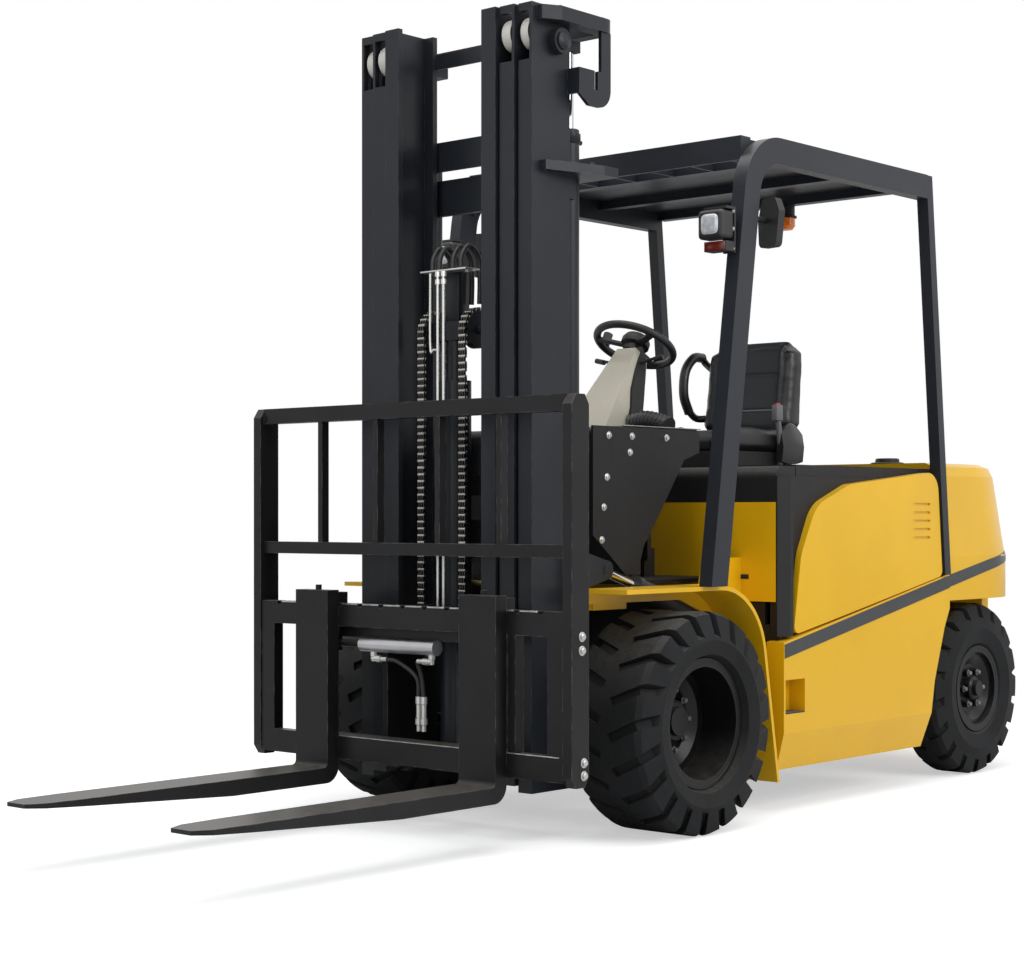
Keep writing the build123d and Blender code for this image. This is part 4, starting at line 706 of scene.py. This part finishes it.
def armrest(low):
    """Looped armrest on the seat's right, with the two arms that hold it."""
    bm = bmesh.new()
    loop = [(-0.03, 0.05), (-0.065, 0.12), (-0.055, 0.21), (0.0, 0.265), (0.06, 0.27)]
    path = smooth_path([Vector((-ARM_X, low.y + 0.05 + y, low.z + z)) for y, z in loop], 8)
    tube(bm, path, 0.019, 14)
    for arm in (((-ARM_X, 0.02, 0.055), (-ARM_X, 0.07, 0.03), (-0.195, 0.10, 0.03)),
                ((-ARM_X, 0.11, 0.27), (-ARM_X, 0.13, 0.25), (-0.195, 0.12, 0.22))):
        tube(bm, smooth_path([Vector((x, low.y + y, low.z + z)) for x, y, z in arm], 6), 0.014, 12)
    piece("seat_armrests", bm, M["seat_vinyl"], "hood", 60)


def hip_guards(low):
    """Moulded guards on both sides of the cushion."""
    bm = bmesh.new()
    for side in (1, -1):
        rows = []
        for i in range(9):
            t = i / 8
            y = low.y + 0.33 + 0.14 * t
            top = low.z + 0.075 + 0.035 * sin(pi * t)
            bottom = low.z - 0.045 + 0.01 * (1 - sin(pi * t))
            section = [(0.236, bottom), (0.262, bottom), (0.268, (top + bottom) / 2), (0.260, top - 0.008),
                       (0.252, top), (0.240, top - 0.004)]
            rows.append([bm.verts.new((side * x, y, z)) for x, z in section])
        loft(bm, rows)
    piece("seat_hip_guards", bm, M["seat_shell"], "hood", 60)


def seat_piping(low, rise):
    """Grey piping across the backrest, in its lowest seam."""
    bm = bmesh.new()
    level, half = 0.27, 0.118
    z = low.z - BACK_SUNK + (rise + BACK_SUNK) * level
    y = low.y + BACK_FRONT + BACK_LEAN * level - 0.004
    tube(bm, [Vector((-half + half * i / 6, y, z)) for i in range(13)], 0.0045, 10)
    piece("seat_piping", bm, M["piping_grey"], "hood", 60)


def belt_buckle(low):
    """Belt buckle with its red button, on a stiff strap."""
    bm = bmesh.new()
    base = Vector((0.240, low.y + 0.33, low.z + 0.015))
    strap = [base + Vector(v) for v in ((0.0, 0.02, -0.06), (0.006, 0.008, 0.03), (0.008, -0.006, 0.10))]
    tube(bm, smooth_path(strap, 6), 0.011, 10)
    slab(bm, base + Vector((-0.006, -0.030, 0.10)), base + Vector((0.020, 0.012, 0.16)), 5)
    slab(bm, base + Vector((0.001, -0.022, 0.152)), base + Vector((0.013, 0.004, 0.166)), 3, 1)
    piece("seat_belt_buckle", bm, [M["moulded_grey"], M["red_plastic"]], "hood")


def seat():
    """The seat's two pads and what is fitted to them."""
    low, high = (Vector(v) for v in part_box("seat_cushion"))
    low_b, high_b = (Vector(v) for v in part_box("seat_backrest"))
    rise = high_b.z - low_b.z
    seat_cushion(low, high)
    seat_backrest(low_b, rise)
    armrest(low_b)
    hip_guards(low)
    seat_piping(low_b, rise)
    belt_buckle(low)


# Fittings
def squared(angle, wide, high):
    """A place on a rounded rectangle's outline, from its middle."""
    shares = [abs(v) ** 0.45 * (1 if v > 0 else -1) for v in (cos(angle), sin(angle))]
    return wide * shares[0], high * shares[1]


def lamps():
    """Glass and bolts of the headlamps, and the dark red indicators."""
    for tag, side in SIDES:
        bm = bmesh.new()
        rows = []
        for wide, high, depth in ((34, 33, 0.6), (33, 32, -1.5), (22, 21, -3.2)):
            ring = [squared(2 * pi * i / 32, wide, high) for i in range(32)]
            places = [at(side * LAMP_X + x, LAMP_FACE + depth, LAMP_Z + z) for x, z in ring]
            rows.append([bm.verts.new(place) for place in places])
        rows.append([bm.verts.new(at(side * LAMP_X, LAMP_FACE - 3.8, LAMP_Z))])
        for a, b in zip(rows, rows[1:]):
            join(bm, a, b, 0, True)
        piece("headlamp_glass_" + tag, bm, M["lamp_glass"], "chassis", 60)
        bm = bmesh.new()
        middle = side * INDICATOR_X
        slab(bm, at(middle - 40, 183.5, 1878), at(middle + 40, 187, 1906), 1.6)
        piece("indicator_lens_" + tag, bm, M["indicator_red"], "chassis")
        bm = bmesh.new()
        for z in (1885, 1950, 2008):
            bolt(bm, at(side * BRACKET_X, BRACKET_FACE, z), (0, -1, 0), 0.006)
        piece("lamp_bolts_" + tag, bm, M["zinc"], "chassis")


def mirrors():
    """Mirror glass facing the driver, in the rounded housings."""
    outline = [(-38, -66), (-30, -73), (24, -73), (32, -66), (43, 34), (26, 74), (18, 78), (-20, 78),
               (-30, 74), (-44, 12)]
    for tag, side in SIDES:
        bm = bmesh.new()
        place = Matrix.Translation(at(side * 645, 452, 1990)) @ Matrix.Rotation(radians(-12 * side), 4, "Z")
        rings = []
        for shrink, y in ((0, 14.2), (0, 15.2), (3, 15.8)):
            wide, high = side * (1 - shrink / 40), 1 - shrink / 80
            ring = [Vector((x * wide / 1000, y / 1000, z * high / 1000)) for x, z in outline]
            rings.append([bm.verts.new(place @ v) for v in ring])
        loft(bm, rings)
        piece("mirror_glass_" + tag, bm, M["mirror_glass"], "chassis", 30)


def beacon():
    """Dark base of the beacon over its amber lens."""
    low, high = (Vector(v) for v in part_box("beacon"))
    centre = Vector(((low.x + high.x) / 2, (low.y + high.y) / 2, high.z))
    bm = bmesh.new()
    lathe(bm, [(0, 0.0385), (-0.036, 0.0385), (-0.0395, 0.0462), (-0.0468, 0.0462), (-0.049, 0.0402)],
          centre, UP, 40)
    for i in range(3):
        a = 2 * pi * i / 3
        bolt(bm, centre + Vector((0.043 * cos(a), 0.043 * sin(a), -0.0466)), (0, 0, -1), 0.0025)
    piece("beacon_base", bm, M["trim_black"], "chassis")


def mast_head():
    """Nylon rollers in the outer and middle rails' notches, head bolts, pin caps and cylinder glands."""
    for body, x_face, x_side, y in (("mast_outer", 320, 352, -409), ("mast_mid", 252, 289, -420)):
        bm = bmesh.new()
        wide = (x_side - x_face) / 1000
        for side in (1, -1):
            centre = at(side * x_face, y, ROLLER_Z)
            out = Vector((-side, 0, 0))
            lathe(bm, [(-wide, 0.0505), (-0.002, 0.0505), (0.0005, 0.048), (0.0005, 0.030),
                       (-0.002, 0.028)], centre, out, 40)
            lathe(bm, [(-0.004, 0.027), (0.0, 0.027), (0.001, 0.016), (0.003, 0.014), (0.003, 0.0)],
                  centre, out, 28, 1)
        piece("head_rollers_" + body, bm, [M["nylon"], M["zinc"]], body)
    bm = bmesh.new()
    for side in (1, -1):
        for y in (-360, -150):
            bolt(bm, at(side * 398, y, HEAD_TOP), UP, 0.010)
        bolt(bm, at(side * 425, -235, 2121), UP, 0.009)
        lathe(bm, [(0, 0.0), (0, 0.026), (0.006, 0.028), (0.010, 0.022), (0.012, 0.0)],
              at(side * 400, -345, 2500), (side, 0, 0), 28)
    piece("mast_head_bolts", bm, M["mast_charcoal"], "mast_outer")
    bm = bmesh.new()
    for side in (1, -1):
        top = at(side * 300, -205, 2250)
        lathe(bm, [(-0.045, 0.0405), (-0.040, 0.0445), (-0.012, 0.0445), (-0.010, 0.040), (0.002, 0.038),
                   (0.003, 0.024)], top, UP, 36)
        lathe(bm, [(0, 0.011), (0.016, 0.011), (0.018, 0.008), (0.030, 0.008)],
              top + Vector((0, 0.040, -0.03)), Y_AXIS, 12)
    piece("lift_cylinder_glands", bm, M["mast_charcoal"], "mast_outer")


def mast_pipes():
    """Anchor plate over the crosshead, its steel pipes, fittings and hose loops."""
    bm = bmesh.new()
    slab(bm, at(-100, -470, ANCHOR_Z), at(100, -400, ANCHOR_Z + 6), 2.0)
    slab(bm, at(-30, -425, 1640), at(30, -385, ANCHOR_Z + 1), 3.0, 1)
    piece("hose_anchor_plate", bm, [M["zinc"], M["mast_charcoal"]], "crosshead")
    bm = bmesh.new()
    for x in (-12, 13):
        tube(bm, [at(x, PIPE_Y, z) for z in (1796, 1500, 1200, 950, PIPE_FOOT)], 0.0055, 10)
        for z in (1790, 1765, PIPE_FOOT + 6):
            lathe(bm, [(0, 0.009), (0.016, 0.009)], at(x, PIPE_Y, z - 8), UP, 6)
    loop = [at(x, PIPE_Y, z) for x, z in ((-45, 1795), (-45, 1560), (-30, 1548), (-12, 1548))]
    tube(bm, smooth_path(loop, 5), 0.0045, 10)
    piece("lift_pipes", bm, M["bright_pipe"], "crosshead", 60)
    bm = bmesh.new()
    for x in (-70, -40, 20, 55):
        turns = [at(x, -440, 1806), at(x - 6, -430, 1850), at(x - 8, -395, 1885), at(x - 2, -355, 1850),
                 at(x, -350, 1780), at(x, -352, 1700)]
        tube(bm, smooth_path(turns, 7), 0.0085)
    piece("hose_loops", bm, M["hose"], "crosshead", 60)


def carriage_fittings():
    """Hose fittings and hoses of the side shift cylinder, and the backrest's bolts."""
    bm = bmesh.new()
    for x, out in ((-150, 1), (105, -1)):
        lathe(bm, [(0, 0.012), (0.014, 0.012), (0.016, 0.009), (0.030, 0.009)], at(x, CYLINDER_Y, 578),
              (0, 0, -1), 8)
        lathe(bm, [(-0.004, 0.010), (0.012, 0.010), (0.014, 0.012), (0.034, 0.012), (0.036, 0.008),
                   (0.060, 0.008)], at(x, CYLINDER_Y, HOSE_END_Z), (out, 0, 0), 8)
    for x in (10, 32):
        lathe(bm, [(0, 0.008), (0.020, 0.008), (0.022, 0.012), (0.040, 0.012), (0.042, 0.009),
                   (0.085, 0.009), (0.087, 0.011), (0.110, 0.011)], at(x, -590, 330), UP, 8)
    piece("shifter_fittings", bm, M["zinc"], "carriage")
    bm = bmesh.new()
    for start, end in ((-96, 10), (52, 32)):
        path = [at(start, CYLINDER_Y, HOSE_END_Z), at((start + end) / 2 - 10, CYLINDER_Y + 14, 548),
                at(end, -600, 500), at(end, -590, 430)]
        tube(bm, smooth_path(path, 8), 0.0075)
    piece("shifter_hoses", bm, M["hose"], "carriage", 60)
    bm = bmesh.new()
    for side in (1, -1):
        for y, z in ((-613, 657), (-613, 616), (-604, 285), (-604, 247)):
            bolt(bm, at(side * BACKREST_SIDE, y, z), (side, 0, 0), 0.011)
    piece("backrest_bolts", bm, M["zinc"], "shifter")


def column():
    """Rear cover of the steering column, its boot, the wheel's hub cap and the stalks."""
    a = radians(COLUMN_TILT)
    axis = Vector((0, -sin(a), -cos(a)))
    across = Vector((0, cos(a), -sin(a)))
    top = at(*WHEEL_CENTRE)
    bm = bmesh.new()
    rows = []
    for along, wide, front, back in ((36, 47, -6, 41), (80, 56, -16, 47), (120, 62, -22, 56),
                                     (200, 75, -22, 70), (262, 84, -4, 80), (352, 95, -2, 97)):
        centre = top + axis * (along / 1000)
        section = ((-wide, front), (-wide, back - 14), (-wide + 14, back), (wide - 14, back),
                   (wide, back - 14), (wide, front))
        places = [centre + Vector((x / 1000, 0, 0)) + across * (d / 1000) for x, d in section]
        rows.append([bm.verts.new(place) for place in places])
    loft(bm, rows)
    piece("column_rear_cover", bm, M["trim_black"], "chassis", 30)
    bm = bmesh.new()
    path = smooth_path([at(30 + 15 * i, 420, 1316 + 26 * sin(pi * i / 14)) for i in range(15)], 2)
    tube(bm, path, 0.040, 20, 0.007)
    piece("column_boot", bm, M["wheel_rubber"], "chassis", 25)
    bm = bmesh.new()
    lathe(bm, [(-0.012, 0.040), (-0.006, 0.052), (0.014, 0.052), (0.030, 0.043), (0.040, 0.024),
               (0.043, 0.0)], top - axis * 0.002, -axis, 36)
    piece("wheel_hub_cap", bm, M["trim_black"], "steering_wheel", 50)
    bm = bmesh.new()
    for side, length in ((1, 0.10), (-1, 0.12)):
        start = top + axis * 0.085 + Vector((side * 0.04, 0, 0))
        end = start + Vector((side * length, 0.02, 0.025))
        tube(bm, smooth_path([start, (start + end) / 2 + Vector((0, 0, 0.004)), end], 5), 0.0055, 10)
        tube(bm, smooth_path([end - (end - start) * 0.35, end - (end - start) * 0.1, end], 4), 0.0095)
    piece("column_stalks", bm, M["wheel_rubber"], "chassis", 50)


def dash():
    """Bolts of the cowl's side plates, the column, lever boots, pedal pads and the floor mat's ribs."""
    bm = bmesh.new()
    for side in (1, -1):
        for y, z in ((-63, 1275), (60, 1275), (49, 1222), (-73, 1139), (-89, 1041), (-100, 935),
                     (250, 1275)):
            bolt(bm, at(side * COWL_SIDE, y, z), (side, 0, 0), 0.009)
    piece("cowl_bolts", bm, M["zinc"], "chassis")
    column()
    bm = bmesh.new()
    for i in range(3):
        lathe(bm, [(0.0, 0.024), (0.004, 0.025), (0.010, 0.018), (0.013, 0.021), (0.019, 0.014),
                   (0.022, 0.017), (0.028, 0.010)], at(-180 - 55 * i, 250, 1310), UP, 24)
    piece("lever_boots", bm, M["wheel_rubber"], "chassis", 25)
    bm = bmesh.new()
    for x in (90, 190):
        for k in range(6):
            slab(bm, at(x - 27, 347, 868 + 17 * k), at(x + 27, 353, 876 + 17 * k), 1.5)
    piece("pedal_pads", bm, M["wheel_rubber"], "chassis")
    bm = bmesh.new()
    for k in range(17):
        slab(bm, at(-330 + 40 * k, 110, 799.5), at(-312 + 40 * k, 540, 803.5), 1.5)
    piece("floor_mat_ribs", bm, M["wheel_rubber"], "chassis")


def small_parts():
    """Filler cap, near-black strips painted on the front wall as the shade of its slot line, step treads,
    the battery's cells and the frame's bolts.
    """
    bm = bmesh.new()
    lathe(bm, [(-0.004, 0.066), (0.006, 0.066), (0.009, 0.058), (0.009, 0.048), (0.022, 0.046),
               (0.025, 0.040), (0.026, 0.0)], at(300, 1790, 1215), UP, 40)
    piece("crown_cap", bm, M["trim_black"], "chassis", 30)
    bm = bmesh.new()
    # Near-black strips laid on the front wall are painted shade where the slot line crosses the wall
    for side in (1, -1):
        x0, x1 = sorted((side * 378, side * 484))
        slab(bm, at(x0, 553.5, 796), at(x1, 557, 812), 1.5)
    piece("wall_slot_painted_shade", bm, M["painted_slot_shade"], "chassis")
    bm = bmesh.new()
    for side in (1, -1):
        x0, x1 = sorted((side * 571, side * 630))
        slab(bm, at(x0, 564, 338.5), at(x1, 680, 343.5), 1.2)
    piece("step_treads", bm, M["step_black"], "chassis")
    bm = bmesh.new()
    for i in range(8):
        for k in range(4):
            lathe(bm, [(-0.002, 0.034), (0.006, 0.034), (0.008, 0.030), (0.012, 0.020), (0.012, 0.0)],
                  at(-440 + CELL_PITCH_X * i, 730 + CELL_PITCH_Y * k, 895), UP, 24)
    for i in range(7):
        for k in range(4):
            x, y = CELL_PITCH_X * i, CELL_PITCH_Y * k
            slab(bm, at(-405 + x, 690 + y, 894), at(-349 + x, 712 + y, 903), 3.0)
    piece("battery_cells", bm, M["moulded_grey"], "chassis")
    bm = bmesh.new()
    for side in (1, -1):
        for y in (-40, 100, 240):
            bolt(bm, at(side * FRAME_SIDE, y, 762), (-side, 0, 0), 0.008)
    piece("frame_bolts", bm, M["paint_yellow_small"], "chassis")


def painted_edge_highlights():
    """Light strips painted along the shifter bars' upper edges and the cowl plates' top edges: painted
    highlights.
    """
    bm = bmesh.new()
    # Light steel strips on the top bar's notched upper edge and on the lower bar's top edge are painted
    # highlights
    for i in range(-6, 6):
        x = i * NOTCH_PITCH
        slab(bm, at(x + 12, BAR_FACE - 0.6, TOP_BAR - 4), at(x + 83, BAR_FACE + 4, TOP_BAR + 0.5),
             0.4, 0, 1)
    slab(bm, at(-420, BAR_FACE - 0.5, LOW_BAR - 2.5), at(640, BAR_FACE + 3, LOW_BAR + 0.4), 0.4, 0, 1)
    piece("bar_painted_highlights", bm, M["painted_highlight_steel"], "shifter")
    bm = bmesh.new()
    # Light grey strips along the cowl plates' top edges are painted highlights
    for side in (1, -1):
        x0, x1 = sorted((side * (COWL_SIDE - 10), side * (COWL_SIDE + 0.6)))
        slab(bm, at(x0, 18, 1308.5), at(x1, 448, 1311.5), 0.8, 0, 1)
    piece("cowl_edge", bm, M["cowl_edge"], "chassis")


def wheel_nuts():
    """Zinc faces of the wheel nuts, on the nuts of the source."""
    for tag, side in SIDES:
        for end, y, z, _, _, face, count, circle in WHEELS:
            bm = bmesh.new()
            for i in range(count):
                a = 2 * pi * i / count
                place = at(side * face, y + circle * cos(a), z + circle * sin(a))
                lathe(bm, [(-0.001, 0.0125), (0.0006, 0.0125), (0.0012, 0.0105)], place, (side, 0, 0), 6)
                lathe(bm, [(0.0, 0.0085), (0.010, 0.0085), (0.012, 0.0070)], place, (side, 0, 0), 14)
            body = "%s_wheel_%s" % (end, tag)
            piece("wheel_nuts_%s_%s" % (end, tag), bm, M["zinc_dull"], body)


def lock_rings():
    """Lock ring round each rim's outer face."""
    for end, y, z, x, bead, _, _, _ in WHEELS:
        for tag, side in SIDES:
            bm = bmesh.new()
            lathe(bm, [(-0.004, bead / 1000 + 0.001), (0.0012, bead / 1000 - 0.001),
                       (0.0012, bead / 1000 - 0.012), (-0.004, bead / 1000 - 0.016)],
                  at(side * x, y, z), (side, 0, 0), 96)
            for face in [f for f in bm.faces if len(f.verts) > 8]:
                bm.faces.remove(face)
            body = "%s_wheel_%s" % (end, tag)
            piece("lock_ring_" + body, bm, M["rim_black"], body, 30)


skirt_stripes()
counterweight_stripe()
chains()
seat()
lamps()
mirrors()
beacon()
mast_head()
mast_pipes()
carriage_fittings()
dash()
small_parts()
painted_edge_highlights()
wheel_nuts()
lock_rings()
stage()
sky()
area("top", (0.5, -0.5, 6.5), (0, 0, 0.8), (6, 6), 300)
area("side", (6.5, 0.5, 4.2), (0.3, 0.3, 0.8), (4, 3), 170)
area("front", (1.5, -7.5, 4.0), (0, -0.5, 1.0), (4, 3), 80)
camera()
scene = bpy.context.scene
scene.view_settings.view_transform = "Standard"
